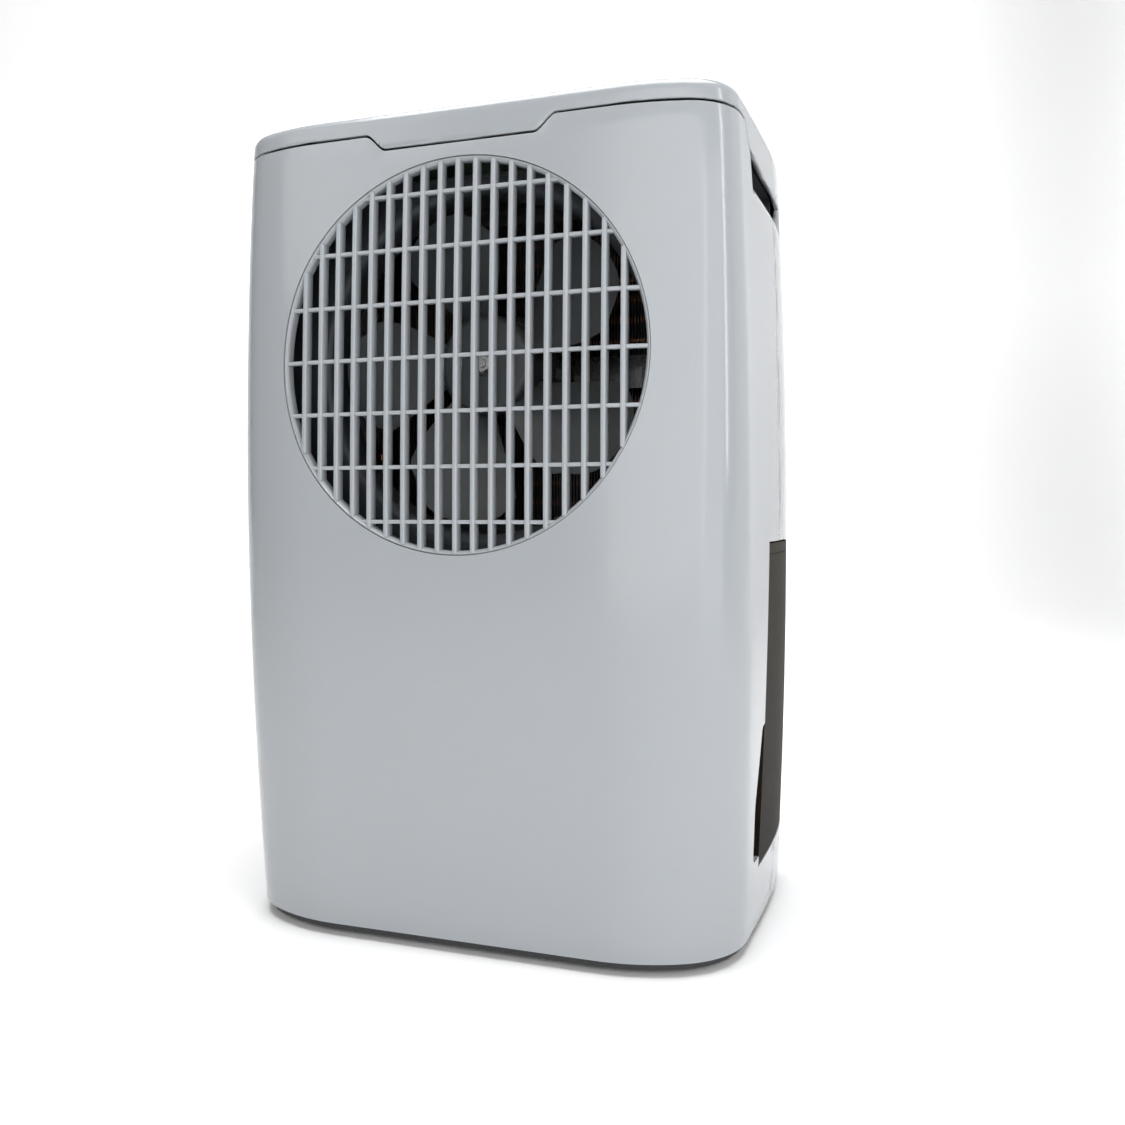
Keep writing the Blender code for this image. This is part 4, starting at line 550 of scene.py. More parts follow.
def keep_curve(piece, skin):
    """Cut faces on the smooth skin keep the skin's own normals."""
    corners = [v.co.copy() for v in skin.vertices]
    polygons = [tuple(p.vertices) for p in skin.polygons]
    tree = BVHTree.FromPolygons(corners, polygons)
    normals = [(0.0, 0.0, 0.0)] * len(piece.data.loops)
    for polygon in piece.data.polygons:
        for loop in polygon.loop_indices:
            spot = piece.data.vertices[piece.data.loops[loop].vertex_index].co
            place, facing, index, distance = tree.find_nearest(spot)
            if distance > 0.00005 or polygon.normal.dot(facing) < 0.97:
                continue
            ring = polygons[index]
            weights = poly_3d_calc([corners[v] for v in ring], place)
            normal = Vector()
            for vertex, weight in zip(ring, weights):
                normal += skin.vertices[vertex].normal * weight
            normals[loop] = tuple(normal.normalized())
    piece.data.shade_smooth()
    piece.data.set_sharp_from_angle(angle=math.radians(32))
    piece.data.normals_split_custom_set(normals)


def outline_prism(name, outline, axis, low, high):
    """Outline in the other two axes, extruded along one."""
    verts = []
    for level in (low, high):
        for first, second in outline:
            spot = [first, second]
            spot.insert("XYZ".index(axis), level)
            verts.append(tuple(spot))
    count = len(outline)
    faces = [tuple(range(count)), tuple(range(count, 2 * count))]
    for k in range(count):
        n = (k + 1) % count
        faces.append((k, n, n + count, k + count))
    return mesh_piece(name, verts, faces)


def round_corners(half_x, half_y, centre, corner, steps=8):
    """Rounded rectangle as a closed list of points."""
    points = []
    for k, (sx, sy) in enumerate(((1, 1), (-1, 1), (-1, -1), (1, -1))):
        for j in range(steps + 1):
            turn = math.pi / 2 * (k + j / steps)
            x = centre[0] + sx * (half_x - corner) + corner * math.cos(turn)
            y = centre[1] + sy * (half_y - corner) + corner * math.sin(turn)
            points.append((x, y))
    return points


bay_floor = 0.041
slide_gap = 0.001
bay_slope = 0.072
tank_front_y = -0.013
tank_top = 0.223
panel_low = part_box("front_panel")[0].z
grille_z = 0.3263
hole_radius = 0.1088
notch_z = (0.047, 0.121)
notch_y = (-0.044, -0.028)
notch_knee = 0.079


def tank_front(z):
    """Front of the tank, which leans forward as it goes down."""
    return tank_front_y - bay_slope * (tank_top - z)


def rounded_loop(points, radii, steps=5):
    """Corners of a closed outline rounded by their own radii."""
    loop = []
    count = len(points)
    for k, radius in enumerate(radii):
        corner = Vector(points[k])
        before = (Vector(points[k - 1]) - corner).normalized()
        after = (Vector(points[(k + 1) % count]) - corner).normalized()
        if radius == 0.0:
            loop.append(tuple(corner))
            continue
        half = before.angle(after) / 2
        start = corner + before * (radius / math.tan(half))
        centre = corner + (before + after).normalized() * (radius / math.sin(half))
        sweep = math.pi - 2 * half
        turn = 1 if before.cross(after) < 0 else -1
        arm = start - centre
        for j in range(steps + 1):
            angle = turn * sweep * j / steps
            x = arm.x * math.cos(angle) - arm.y * math.sin(angle)
            y = arm.x * math.sin(angle) + arm.y * math.cos(angle)
            loop.append((centre.x + x, centre.y + y))
    return loop


def notch_loop(grow):
    """Finger notch ahead of the tank's front edge, as (y, z) points."""
    low, high = notch_z
    points = (
        (0.0, low - grow),
        (notch_y[0] - grow, low - grow),
        (notch_y[0] - grow, notch_knee),
        (notch_y[1] - grow, high + grow),
        (0.0, high + grow),
    )
    return rounded_loop(points, (0.0, 0.0055 + grow, 0.030, 0.006 + grow, 0.0))


def make_front_panel():
    panel = wall_piece(
        "front_panel_moulding",
        round_columns(0, widest_place),
        lambda place: panel_low,
        casing_top,
        44,
        False,
        scoop=True,
        shift=-seam_gap / 2,
    )
    skin = panel.data.copy()
    hole = []
    for k in range(160):
        turn = 2 * math.pi * k / 160
        hole.append((hole_radius * math.cos(turn), grille_z + hole_radius * math.sin(turn)))
    top = tank_top + slide_gap
    opening = [
        (tank_front(bay_floor) - slide_gap, bay_floor),
        (tank_front(top) - slide_gap, top),
        (0.12, top),
        (0.12, bay_floor),
    ]
    carve(
        panel,
        outline_prism("hole", hole, "Y", -0.2, 0.0),
        outline_prism("tank_cut", opening, "X", -0.2, 0.2),
        outline_prism("notch_cut", notch_loop(0.0), "X", -0.2, 0.2),
    )
    keep_curve(panel, skin)
    return panel


inlet_half = 0.116
inlet_z = (0.246, 0.424)
inlet_border = 0.011
screw_x = 0.095
screw_z = (0.027, 0.237)
screw_hole = 0.0039
gland_place = (-0.060, 0.027)
gland_hole = 0.0063


def round_hole(name, x, z, radius, sides=28):
    loop = []
    for k in range(sides):
        turn = 2 * math.pi * k / sides
        loop.append((x + radius * math.cos(turn), z + radius * math.sin(turn)))
    return outline_prism(name, loop, "Y", 0.03, 0.2)


def make_rear_shells():
    last = len(places_round) - 1
    columns = round_columns(widest_place, last)
    low = tank_top + slide_gap
    upper = wall_piece(
        "rear_shell_moulding",
        columns,
        lambda place: low,
        casing_top,
        22,
        False,
        scoop=True,
        shift=seam_gap / 2,
    )
    skin = upper.data.copy()
    half = (inlet_z[1] - inlet_z[0]) / 2
    window = round_corners(inlet_half, half, (0.0, sum(inlet_z) / 2), inlet_border)
    carve(
        upper,
        outline_prism("inlet_cut", window, "Y", 0.055, 0.2),
        round_hole("screw_cut", -screw_x, screw_z[1], screw_hole),
        round_hole("screw_cut", screw_x, screw_z[1], screw_hole),
    )
    keep_curve(upper, skin)
    lower = wall_piece(
        "lower_rear_moulding",
        columns,
        lambda place: panel_low,
        lambda place: bay_floor,
        8,
        False,
        shift=seam_gap / 2,
    )
    skin = lower.data.copy()
    carve(
        lower,
        round_hole("screw_cut", -screw_x, screw_z[0], screw_hole),
        round_hole("screw_cut", screw_x, screw_z[0], screw_hole),
        round_hole("gland_cut", *gland_place, gland_hole),
    )
    keep_curve(lower, skin)
    return upper, lower


deck_half = (0.082, 0.030)
deck_centre = (0.0, -0.052)
deck_corner = 0.008


def make_top_cover():
    """Cap with a dipped front seam, low side skirts and a rounded top edge."""
    shoulder = height - top_fillet
    edge = 0.0005
    verts = []
    loops = []
    for place, side in round_columns(0, len(places_round) - 1):
        x, y = at_seam(place)
        bottom = seam_height(x, y)
        profile = [(bottom, wall, False), (bottom, edge, False), (bottom + edge, 0.0, False)]
        start = bottom + edge
        profile += [(between((start, shoulder), k / 5), 0.0, False) for k in range(1, 6)]
        for k in range(1, 9):
            turn = math.pi / 2 * k / 8
            drop = top_fillet * (1 - math.cos(turn))
            profile.append((shoulder + top_fillet * math.sin(turn), drop, True))
        profile.append((height, top_fillet + 0.001, True))
        profile.append((height, top_fillet + 0.006, True))
        outer = []
        for z, inset, over in profile:
            x, y = outline_point(place, shoulder if over else z, inset)
            outer.append(len(verts))
            verts.append((side * x, y, z))
        inner = []
        for z, over in ((shoulder, False), (height - wall, True)):
            x, y = outline_point(place, shoulder, wall if not over else top_fillet)
            inner.append(len(verts))
            verts.append((side * x, y, z))
        loops.append((outer, inner))
    faces = []
    count = len(loops)
    for k in range(count):
        outer, inner = loops[k]
        outer_next, inner_next = loops[(k + 1) % count]
        for one, two in zip(range(len(outer)), range(1, len(outer))):
            faces.append((outer[one], outer_next[one], outer_next[two], outer[two]))
        faces.append((inner[0], inner_next[0], inner_next[1], inner[1]))
        faces.append((outer[0], outer_next[0], inner_next[0], inner[0]))
    faces.append(tuple(outer[-1] for outer, inner in loops))
    faces.append(tuple(inner[-1] for outer, inner in loops))
    cover = mesh_piece("top_cover_moulding", verts, faces)
    skin = cover.data.copy()
    window = round_corners(*deck_half, deck_centre, deck_corner)
    carve(cover, outline_prism("deck_cut", window, "Z", seam_z, height + wall))
    keep_curve(cover, skin)
    return cover


front_panel = make_front_panel()
rear_shell, lower_rear_cover = make_rear_shells()
top_cover = make_top_cover()
casings = (
    (front_panel, "front_panel"),
    (rear_shell, "rear_shell"),
    (lower_rear_cover, "lower_rear_cover"),
    (top_cover, "top_cover"),
)
for piece, node in casings:
    piece.data.materials.clear()
    piece.data.materials.append(casing_plastic)
    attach(piece, "root")
    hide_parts(node)


# ---------------------------------------------------------------- front grille
# One moulding in the casing's plastic that snaps into the round opening from behind.
# Its chamfered ring carries upright bars and shallower cross bars set back behind them.
grille_depth = 0.0065
grille_set_back = 0.0006
touch_gap = 0.0003
bar_pitch = 0.01047
bar_count = 19
bar_width = 0.0029
cross_pitch = 0.0302
cross_count = 7
cross_width = 0.0022
cross_set_back = 0.0009
cross_short = 0.0012
grille_rim = 0.0026
roll_x, roll_y, roll_r = outline_arcs(grille_z)[0][:3]


def front_surface(x, z):
    """Front of the body at a place on its flat or on the roll beside it."""
    centre_x, centre_y, radius = outline_arcs(z)[0][:3]
    beyond = max(abs(x) - centre_x, 0.0)
    return centre_y - math.sqrt(radius * radius - beyond * beyond)


def node_tree(name, inputs):
    """Geometry group with named inputs and one mesh out."""
    tree = bpy.data.node_groups.new(name, "GeometryNodeTree")
    add_sockets(tree, inputs)
    tree.interface.new_socket("Geometry", in_out="OUTPUT", socket_type="NodeSocketGeometry")
    return tree, tree.nodes.new("NodeGroupInput").outputs, tree.nodes.new("NodeGroupOutput").inputs


def add_node(tree, kind, links=None, values=None, **settings):
    """Node with its settings, its values and its incoming links."""
    node = tree.nodes.new(kind)
    for key, value in settings.items():
        setattr(node, key, value)
    for key, value in (values or {}).items():
        node.inputs[key].default_value = value
    for key, source in (links or {}).items():
        tree.links.new(source, node.inputs[key])
    return node


def paint_tree(tree, last, given, result):
    """Sets the material and closes the group."""
    links = {0: last.outputs[0], "Material": given["Material"]}
    painted = add_node(tree, "GeometryNodeSetMaterial", links)
    tree.links.new(painted.outputs[0], result[0])
    return tree


def grow_piece(name, tree, values, body, sharp=32.0):
    """Runs a geometry group once and keeps its result as one plain mesh."""
    holder = bpy.data.objects.new(name, bpy.data.meshes.new(name))
    bpy.context.scene.collection.objects.link(holder)
    step = holder.modifiers.new("grow", "NODES")
    step.node_group = tree
    for item in tree.interface.items_tree:
        if item.in_out == "INPUT" and item.name in values:
            step[item.identifier] = values[item.name]
    graph = bpy.context.evaluated_depsgraph_get()
    graph.update()
    mesh = bpy.data.meshes.new_from_object(holder.evaluated_get(graph))
    holder.modifiers.remove(step)
    holder.data = mesh
    mesh.shade_smooth()
    mesh.set_sharp_from_angle(angle=math.radians(sharp))
    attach(holder, body)
    return holder


def make_bar_tree():
    """Row of rounded bars whose length follows a circle and whose face follows the front."""
    tree, given, result = node_tree(
        "grille_bars",
        {
            "Count": 19, "Pitch": 0.01, "Width": 0.003, "Depth": 0.006, "Set Back": 0.0,
            "Edge Radius": 0.0006, "Ring Radius": 0.1, "Centre Height": 0.3, "Quarter Turn": 0.0,
            "Roll Centre": 0.07, "Roll Radius": 0.12, "Front": -0.11, "Bulge": 0.006,
            "Middle": 0.2325, "Material": None,
        },
    )

    def calc(operation, *values):
        return tree_math(tree, operation, *values)

    def vector(x=0.0, y=0.0, z=0.0):
        node = tree.nodes.new("ShaderNodeCombineXYZ")
        for slot, value in zip(node.inputs, (x, y, z)):
            if isinstance(value, (int, float)):
                slot.default_value = value
            else:
                tree.links.new(value, slot)
        return node.outputs[0]

    path = add_node(tree, "GeometryNodeCurvePrimitiveLine", values={0: (0, 0, -1), 1: (0, 0, 1)})
    path = add_node(tree, "GeometryNodeResampleCurve", {0: path.outputs[0]}, {"Count": 25})
    section = add_node(
        tree,
        "GeometryNodeCurvePrimitiveQuadrilateral",
        {"Width": given["Width"], "Height": given["Depth"]},
    )
    section = add_node(
        tree,
        "GeometryNodeFilletCurve",
        {0: section.outputs[0], "Radius": given["Edge Radius"]},
        {"Count": 2},
        mode="POLY",
    )
    bar = add_node(
        tree,
        "GeometryNodeCurveToMesh",
        {0: path.outputs[0], 1: section.outputs[0]},
        {"Fill Caps": True},
    )
    line = add_node(tree, "GeometryNodeMeshLine", {"Count": given["Count"]})
    tree.links.new(vector(x=given["Pitch"]), line.inputs["Offset"])
    row = add_node(tree, "GeometryNodeInputIndex").outputs[0]
    middle = calc("MULTIPLY", calc("SUBTRACT", given["Count"], 1.0), 0.5)
    across = calc("MULTIPLY", calc("SUBTRACT", row, middle), given["Pitch"])
    chord = calc("SQRT", calc("SUBTRACT", calc("POWER", given["Ring Radius"], 2.0),
                              calc("MULTIPLY", across, across)))
    placed = add_node(tree, "GeometryNodeSetPosition", {0: line.outputs[0]})
    tree.links.new(vector(x=across), placed.inputs["Position"])
    rows = add_node(
        tree,
        "GeometryNodeInstanceOnPoints",
        {"Points": placed.outputs[0], "Instance": bar.outputs[0], "Scale": vector(1.0, 1.0, chord)},
    )
    turned = add_node(
        tree,
        "GeometryNodeTransform",
        {0: rows.outputs[0], "Rotation": vector(y=given["Quarter Turn"])},
    )
    real = add_node(tree, "GeometryNodeRealizeInstances", {0: turned.outputs[0]})
    here = add_node(tree, "GeometryNodeInputPosition").outputs[0]
    split = add_node(tree, "ShaderNodeSeparateXYZ", {0: here}).outputs
    level = calc("ADD", split[2], given["Centre Height"])
    share = calc("DIVIDE", calc("SUBTRACT", level, given["Middle"]), given["Middle"])
    bulge = calc("MULTIPLY", calc("MULTIPLY", share, share), given["Bulge"])
    beyond = calc("MAXIMUM", calc("SUBTRACT", calc("ABSOLUTE", split[0]), given["Roll Centre"]), 0.0)
    arm = calc("SUBTRACT", calc("POWER", given["Roll Radius"], 2.0), calc("MULTIPLY", beyond, beyond))
    fall = calc("SUBTRACT", given["Roll Radius"], calc("SQRT", arm))
    face = calc("ADD", calc("ADD", given["Front"], bulge), fall)
    centre = calc("ADD", given["Set Back"], calc("MULTIPLY", given["Depth"], 0.5))
    moved = add_node(tree, "GeometryNodeSetPosition", {0: real.outputs[0]})
    shift = vector(0.0, calc("ADD", face, centre), given["Centre Height"])
    tree.links.new(shift, moved.inputs["Offset"])
    return paint_tree(tree, moved, given, result)


def lathe(name, profile, axis_at, sides=96, follow=None, closed=True):
    """Profile of (radius, y) turned about a line along Y."""
    verts = []
    faces = []
    count = len(profile)
    for k in range(sides):
        turn = 2 * math.pi * k / sides
        for radius, y in profile:
            x = axis_at[0] + radius * math.cos(turn)
            z = axis_at[1] + radius * math.sin(turn)
            verts.append((x, y + (follow(x, z) if follow else 0.0), z))
    for k in range(sides):
        one = k * count
        two = (k + 1) % sides * count
        for j in range(count if closed else count - 1):
            i = (j + 1) % count
            faces.append((one + j, one + i, two + i, two + j))
    if not closed:
        faces.append(tuple(k * count for k in range(sides)))
        faces.append(tuple(k * count + count - 1 for k in range(sides)))
    return mesh_piece(name, verts, faces)


def join_into(piece, *others):
    """One object from several closed meshes."""
    shape = bmesh.new()
    for part in (piece, *others):
        shape.from_mesh(part.data)
    for part in others:
        bpy.data.objects.remove(part, do_unlink=True)
    shape.to_mesh(piece.data)
    shape.free()
    piece.data.shade_smooth()
    piece.data.set_sharp_from_angle(angle=math.radians(32))
    return piece


def show(piece, material, body, slot_name, *nodes):
    """Paints a piece, lets it ride on its body and takes the place of its CAD nodes."""
    piece.data.materials.clear()
    piece.data.materials.append(material)
    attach(piece, body)
    if nodes:
        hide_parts(*nodes)
    return piece


def make_grille():
    tree = make_bar_tree()
    ring_middle = hole_radius - grille_rim / 2
    shared = {
        "Ring Radius": ring_middle,
        "Centre Height": grille_z,
        "Roll Centre": roll_x,
        "Roll Radius": roll_r,
        "Front": -depth / 2 + grille_set_back,
        "Bulge": front_bulge,
        "Middle": height / 2,
        "Material": casing_plastic,
    }
    upright = {
        "Count": bar_count,
        "Pitch": bar_pitch,
        "Width": bar_width,
        "Depth": grille_depth,
        "Set Back": 0.0,
        "Edge Radius": 0.0007,
        "Quarter Turn": 0.0,
    }
    across = {
        "Count": cross_count,
        "Pitch": cross_pitch,
        "Width": cross_width,
        "Depth": grille_depth - cross_short - cross_set_back,
        "Set Back": cross_set_back,
        "Edge Radius": 0.0005,
        "Quarter Turn": math.pi / 2,
    }
    bars = grow_piece("grille_upright_bars", tree, {**shared, **upright}, "root")
    crosses = grow_piece("grille_cross_bars", tree, {**shared, **across}, "root")
    outer = hole_radius - touch_gap
    inner = hole_radius - grille_rim
    profile = (
        (outer, grille_depth),
        (outer, 0.0004),
        (outer - 0.0003, 0.0),
        (outer - 0.0008, 0.0),
        (inner + 0.0002, 0.0016),
        (inner, 0.0022),
        (inner, grille_depth),
    )

    def face(x, z):
        return front_surface(x, z) + grille_set_back

    ring = lathe("grille_ring", profile, (0.0, grille_z), 160, face)
    show(ring, casing_plastic, "root", "casing", "front_grille")


make_grille()


# ---------------------------------------------------------------- fan shroud
# Grey plate screwed in behind the grille, coloured near-black as painted shade for the place it sits in.
# Its round mouth is drawn in to a lip that guides the air to the blades, with ribs and screw bosses
# round it.
shroud_low, shroud_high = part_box("fan_shroud")
orifice_radius = 0.098
shroud_wall = 0.0025
# The near-black colour is painted shade: the plate's own plastic is the body's light grey, lying in
# shade behind the grille.
shroud_plastic = material_with(
    "satin_grey_plastic",
    moulded_surface,
    {
        "Colour": (0.034, 0.039, 0.044), "Mottle": 0.35, "Roughness": 0.42,
        "Roughness Spread": 0.10, "Grain Scale": 1500.0, "Grain Depth": 0.35, "Dust": 0.10,
    },
)


def make_shroud():
    front = shroud_low.y
    entry = 0.0055
    lip_end = shroud_high.y
    half = (shroud_high.x - shroud_low.x) / 2
    tall = (shroud_high.z - shroud_low.z) / 2
    outline = round_corners(half, tall, (0.0, grille_z), 0.006, 4)
    plate = outline_prism("fan_shroud_plate", outline, "Y", front, front + shroud_wall)
    cut_radius = orifice_radius + entry
    circle = []
    for k in range(128):
        turn = 2 * math.pi * k / 128
        circle.append((cut_radius * math.cos(turn), grille_z + cut_radius * math.sin(turn)))
    carve(plate, outline_prism("mouth", circle, "Y", -0.2, 0.2))
    inside = []
    outside = []
    for k in range(9):
        turn = math.pi / 2 * k / 8
        out = entry * (1 - math.sin(turn))
        back = entry * (1 - math.cos(turn))
        inside.append((orifice_radius + out, front + back))
        out = max(entry + 0.0003 - shroud_wall, 0.0) * (1 - math.sin(turn))
        outside.append((orifice_radius + shroud_wall + out, front + shroud_wall + back * 0.6))
    profile = inside + [(orifice_radius, lip_end - 0.0008), (orifice_radius + 0.0008, lip_end)]
    profile += [(orifice_radius + shroud_wall - 0.0004, lip_end)] + outside[::-1]
    lip = lathe("lip", profile, (0.0, grille_z), 128)
    extras = [lip]
    for sx in (-1, 1):
        for sz in (-1, 1):
            spot = (sx * (half - 0.012), grille_z + sz * (tall - 0.012))
            boss = [(0.0, front - 0.0012), (0.0034, front - 0.0012), (0.0042, front - 0.0004)]
            boss += [(0.0042, front + 0.001), (0.0, front + 0.001)]
            extras.append(lathe("boss", boss, spot, 24, closed=False))
    groove = orifice_radius + entry + 0.002
    bead = [(groove, front + 0.0005), (groove + 0.0004, front - 0.0006)]
    bead += [(groove + 0.0016, front - 0.0006), (groove + 0.0020, front + 0.0005)]
    extras.append(lathe("bead", bead, (0.0, grille_z), 128))
    shroud = join_into(plate, *extras)
    shroud.name = "fan_shroud_moulding"
    show(shroud, shroud_plastic, "root", "shroud_plastic", "fan_shroud")


make_shroud()


# ---------------------------------------------------------------- fan, shaft and motor
# One moulding with five broad swept blades on a deep hub. It is locked on the steel
# shaft by a nut and driven by an enamelled motor held in a bent steel strap.
hub_radius = 0.029
hub_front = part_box("fan_impeller")[0].y
hub_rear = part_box("fan_impeller")[1].y
blade_wall = 0.0018
fan_plastic = material_with(
    "fan_plastic",
    moulded_surface,
    {
        "Colour": (0.036, 0.040, 0.043), "Mottle": 0.3, "Roughness": 0.36,
        "Roughness Spread": 0.08, "Grain Scale": 1600.0, "Grain Depth": 0.25, "Dust": 0.12,
    },
)


def make_blade(turn):
    """Swept blade with a rounded tip and thin edges, as a closed sheet."""
    root = hub_radius - 0.002
    tip = orifice_radius - 0.005
    middle = (hub_front + hub_rear) / 2
    spans, chords = 12, 14
    layers = []
    for face in (-0.5, 0.5):
        grid = []
        for i in range(spans + 1):
            out = i / spans
            row = []
            for j in range(chords + 1):
                share = j / chords - 0.5
                corner = 1.0 - 0.16 * max(0.0, out - 0.7) / 0.3 * abs(2 * share) ** 3
                radius = between((root, tip), out) * (1 if out < 0.7 else corner)
                reach = 52.0 * (0.85 + 0.15 * math.sin(math.pi * out))
                angle = math.radians(turn + 10.0 * out + reach * share)
                camber = blade_wall * math.cos(math.pi * share)
                thin = 0.35 + 0.65 * (1 - abs(2 * share) ** 4)
                y = middle + 0.016 * share - camber + face * blade_wall * thin
                row.append((radius * math.cos(angle), y, grille_z + radius * math.sin(angle)))
            grid.append(row)
        layers.append(grid)
    verts = [spot for grid in layers for row in grid for spot in row]
    wide = chords + 1
    step = (spans + 1) * wide
    faces = []
    for i in range(spans):
        for j in range(chords):
            a = i * wide + j
            faces.append((a, a + 1, a + wide + 1, a + wide))
            faces.append((step + a, step + a + wide, step + a + wide + 1, step + a + 1))
    for i in range(spans):
        for j in (0, chords):
            a = i * wide + j
            faces.append((a, a + wide, step + a + wide, step + a))
    for j in range(chords):
        for i in (0, spans):
            a = i * wide + j
            faces.append((a, a + 1, step + a + 1, step + a))
    return mesh_piece("blade", verts, faces, 60.0)


def make_fan():
    bore = 0.0029
    dome = [(bore, hub_front + 0.0004), (0.006, hub_front), (0.0075, hub_front + 0.0012)]
    for k in range(7):
        turn = math.pi / 2 * k / 6
        out = hub_radius - 0.005 + 0.005 * math.sin(turn)
        dome.append((out, hub_front + 0.0012 + 0.005 * (1 - math.cos(turn))))
    profile = dome + [(hub_radius, hub_rear), (hub_radius - 0.002, hub_rear)]
    profile += [(hub_radius - 0.002, hub_front + 0.009), (0.008, hub_front + 0.006)]
    profile += [(0.008, hub_rear - 0.001), (bore, hub_rear - 0.001)]
    hub = lathe("fan_moulding", profile, (0.0, grille_z), 72)
    fan = join_into(hub, *[make_blade(31.0 + 72.0 * k) for k in range(5)])
    show(fan, fan_plastic, "fan", "fan_plastic", "fan_impeller")


make_fan()


def make_metal_surface():
    """Plated or painted metal: fine drawn lines, cloudy gloss and specks of dirt."""
    tree, given, result = group_tree(
        "worn_metal",
        {
            "Colour": (0.5, 0.5, 0.5, 1.0), "Dirt Colour": (0.1, 0.09, 0.08, 1.0), "Dirt": 0.2,
            "Roughness": 0.3, "Roughness Spread": 0.2, "Grain Scale": 900.0, "Grain Depth": 0.2,
            "Stretch": (1.0, 1.0, 1.0),
        },
    )
    place = tree.nodes.new("ShaderNodeTexCoord").outputs["Object"]
    drawn = tree.nodes.new("ShaderNodeVectorMath")
    drawn.operation = "MULTIPLY"
    tree.links.new(place, drawn.inputs[0])
    tree.links.new(given.outputs["Stretch"], drawn.inputs[1])
    lines = noise_on(tree, drawn.outputs[0], given.outputs["Grain Scale"], 3.0, 0.6)
    cloud = noise_on(tree, place, 70.0, 5.0, 0.7)
    patch = tree.nodes.new("ShaderNodeMapRange")
    patch.inputs["From Min"].default_value = 0.45
    patch.inputs["From Max"].default_value = 0.75
    tree.links.new(cloud, patch.inputs[0])
    soiled = tree_math(tree, "MULTIPLY", patch.outputs[0], given.outputs["Dirt"])
    toned = colour_mix(tree, soiled, given.outputs["Colour"], given.outputs["Dirt Colour"])
    tree.links.new(toned, result.inputs["Colour"])
    swing = tree_math(tree, "SUBTRACT", cloud, 0.5)
    rough = tree_math(tree, "MULTIPLY", swing, given.outputs["Roughness Spread"])
    rough = tree_math(tree, "ADD", rough, given.outputs["Roughness"])
    rough = tree_math(tree, "MULTIPLY_ADD", soiled, 0.3, rough)
    tree.links.new(rough, result.inputs["Roughness"])
    add_relief(tree, lines, given.outputs["Grain Depth"], result)
    return tree


worn_metal = make_metal_surface()
METAL = {"Metallic": 1.0}
shaft_steel = material_with(
    "ground_steel",
    worn_metal,
    {
        "Colour": (0.62, 0.62, 0.61), "Dirt": 0.15, "Roughness": 0.26,
        "Stretch": (1.0, 14.0, 1.0), "Grain Depth": 0.25,
    },
    METAL,
)
zinc_sheet = material_with(
    "zinc_plated_sheet",
    worn_metal,
    {
        "Colour": (0.55, 0.56, 0.58), "Dirt": 0.35, "Roughness": 0.34, "Grain Scale": 260.0,
        "Grain Depth": 0.15,
    },
    METAL,
)
black_enamel = material_with(
    "black_enamel",
    worn_metal,
    {
        "Colour": (0.014, 0.014, 0.015), "Dirt Colour": (0.07, 0.068, 0.063), "Dirt": 0.35,
        "Roughness": 0.22, "Grain Scale": 700.0, "Grain Depth": 0.35,
    },
    {"Coat Weight": 0.3},
)
repaint(shaft_steel, "motor_shaft", "fan_nut")
repaint(zinc_sheet, "run_capacitor")
repaint(black_enamel, "motor_strap")
repaint(black_enamel, "fan_motor", "compressor_body", "accumulator")


# ---------------------------------------------------------------- coils and pipes
# Each coil is a stack of thin aluminium fins pressed over copper tube, closed by two
# end plates. The tube's return bends stand out beyond the plates.
coil_aluminium = material_with(
    "fin_aluminium",
    worn_metal,
    {
        "Colour": (0.11, 0.113, 0.118), "Dirt Colour": (0.12, 0.11, 0.10), "Dirt": 0.55,
        "Roughness": 0.42, "Grain Scale": 500.0, "Grain Depth": 0.2,
    },
    METAL,
)
copper_tube = material_with(
    "drawn_copper",
    worn_metal,
    {
        "Colour": (0.72, 0.33, 0.19), "Dirt Colour": (0.16, 0.07, 0.045), "Dirt": 0.6,
        "Roughness": 0.28, "Roughness Spread": 0.3, "Grain Scale": 420.0, "Grain Depth": 0.15,
    },
    METAL,
)


def make_fin_tree():
    """Row of upright fins of one size, evenly spaced across X."""
    tree, given, result = node_tree(
        "coil_fins",
        {
            "Count": 100, "Pitch": 0.0019, "Fin Size": (0.0003, 0.03, 0.2),
            "Centre": (0.0, 0.0, 0.0), "Lean": 0.01, "Seed": 4, "Material": None,
        },
    )
    fin = add_node(tree, "GeometryNodeMeshCube", {"Size": given["Fin Size"]})
    line = add_node(tree, "GeometryNodeMeshLine", {"Count": given["Count"]})
    row = add_node(tree, "GeometryNodeInputIndex").outputs[0]
    middle = tree_math(tree, "MULTIPLY", tree_math(tree, "SUBTRACT", given["Count"], 1.0), 0.5)
    across = tree_math(tree, "SUBTRACT", row, middle)
    across = tree_math(tree, "MULTIPLY", across, given["Pitch"])
    spot = add_node(tree, "ShaderNodeCombineXYZ", {0: across})
    at = add_node(
        tree,
        "ShaderNodeVectorMath",
        {0: spot.outputs[0], 1: given["Centre"]},
        operation="ADD",
    )
    placed = add_node(
        tree, "GeometryNodeSetPosition", {0: line.outputs[0], "Position": at.outputs[0]}
    )
    chance = add_node(
        tree, "FunctionNodeRandomValue", {"Seed": given["Seed"]}, data_type="FLOAT"
    )
    swing = tree_math(tree, "SUBTRACT", chance.outputs[1], 0.5)
    turn = add_node(
        tree, "ShaderNodeCombineXYZ", {2: tree_math(tree, "MULTIPLY", swing, given["Lean"])}
    )
    fins = add_node(
        tree,
        "GeometryNodeInstanceOnPoints",
        {"Points": placed.outputs[0], "Instance": fin.outputs[0], "Rotation": turn.outputs[0]},
    )
    real = add_node(tree, "GeometryNodeRealizeInstances", {0: fins.outputs[0]})
    return paint_tree(tree, real, given, result)


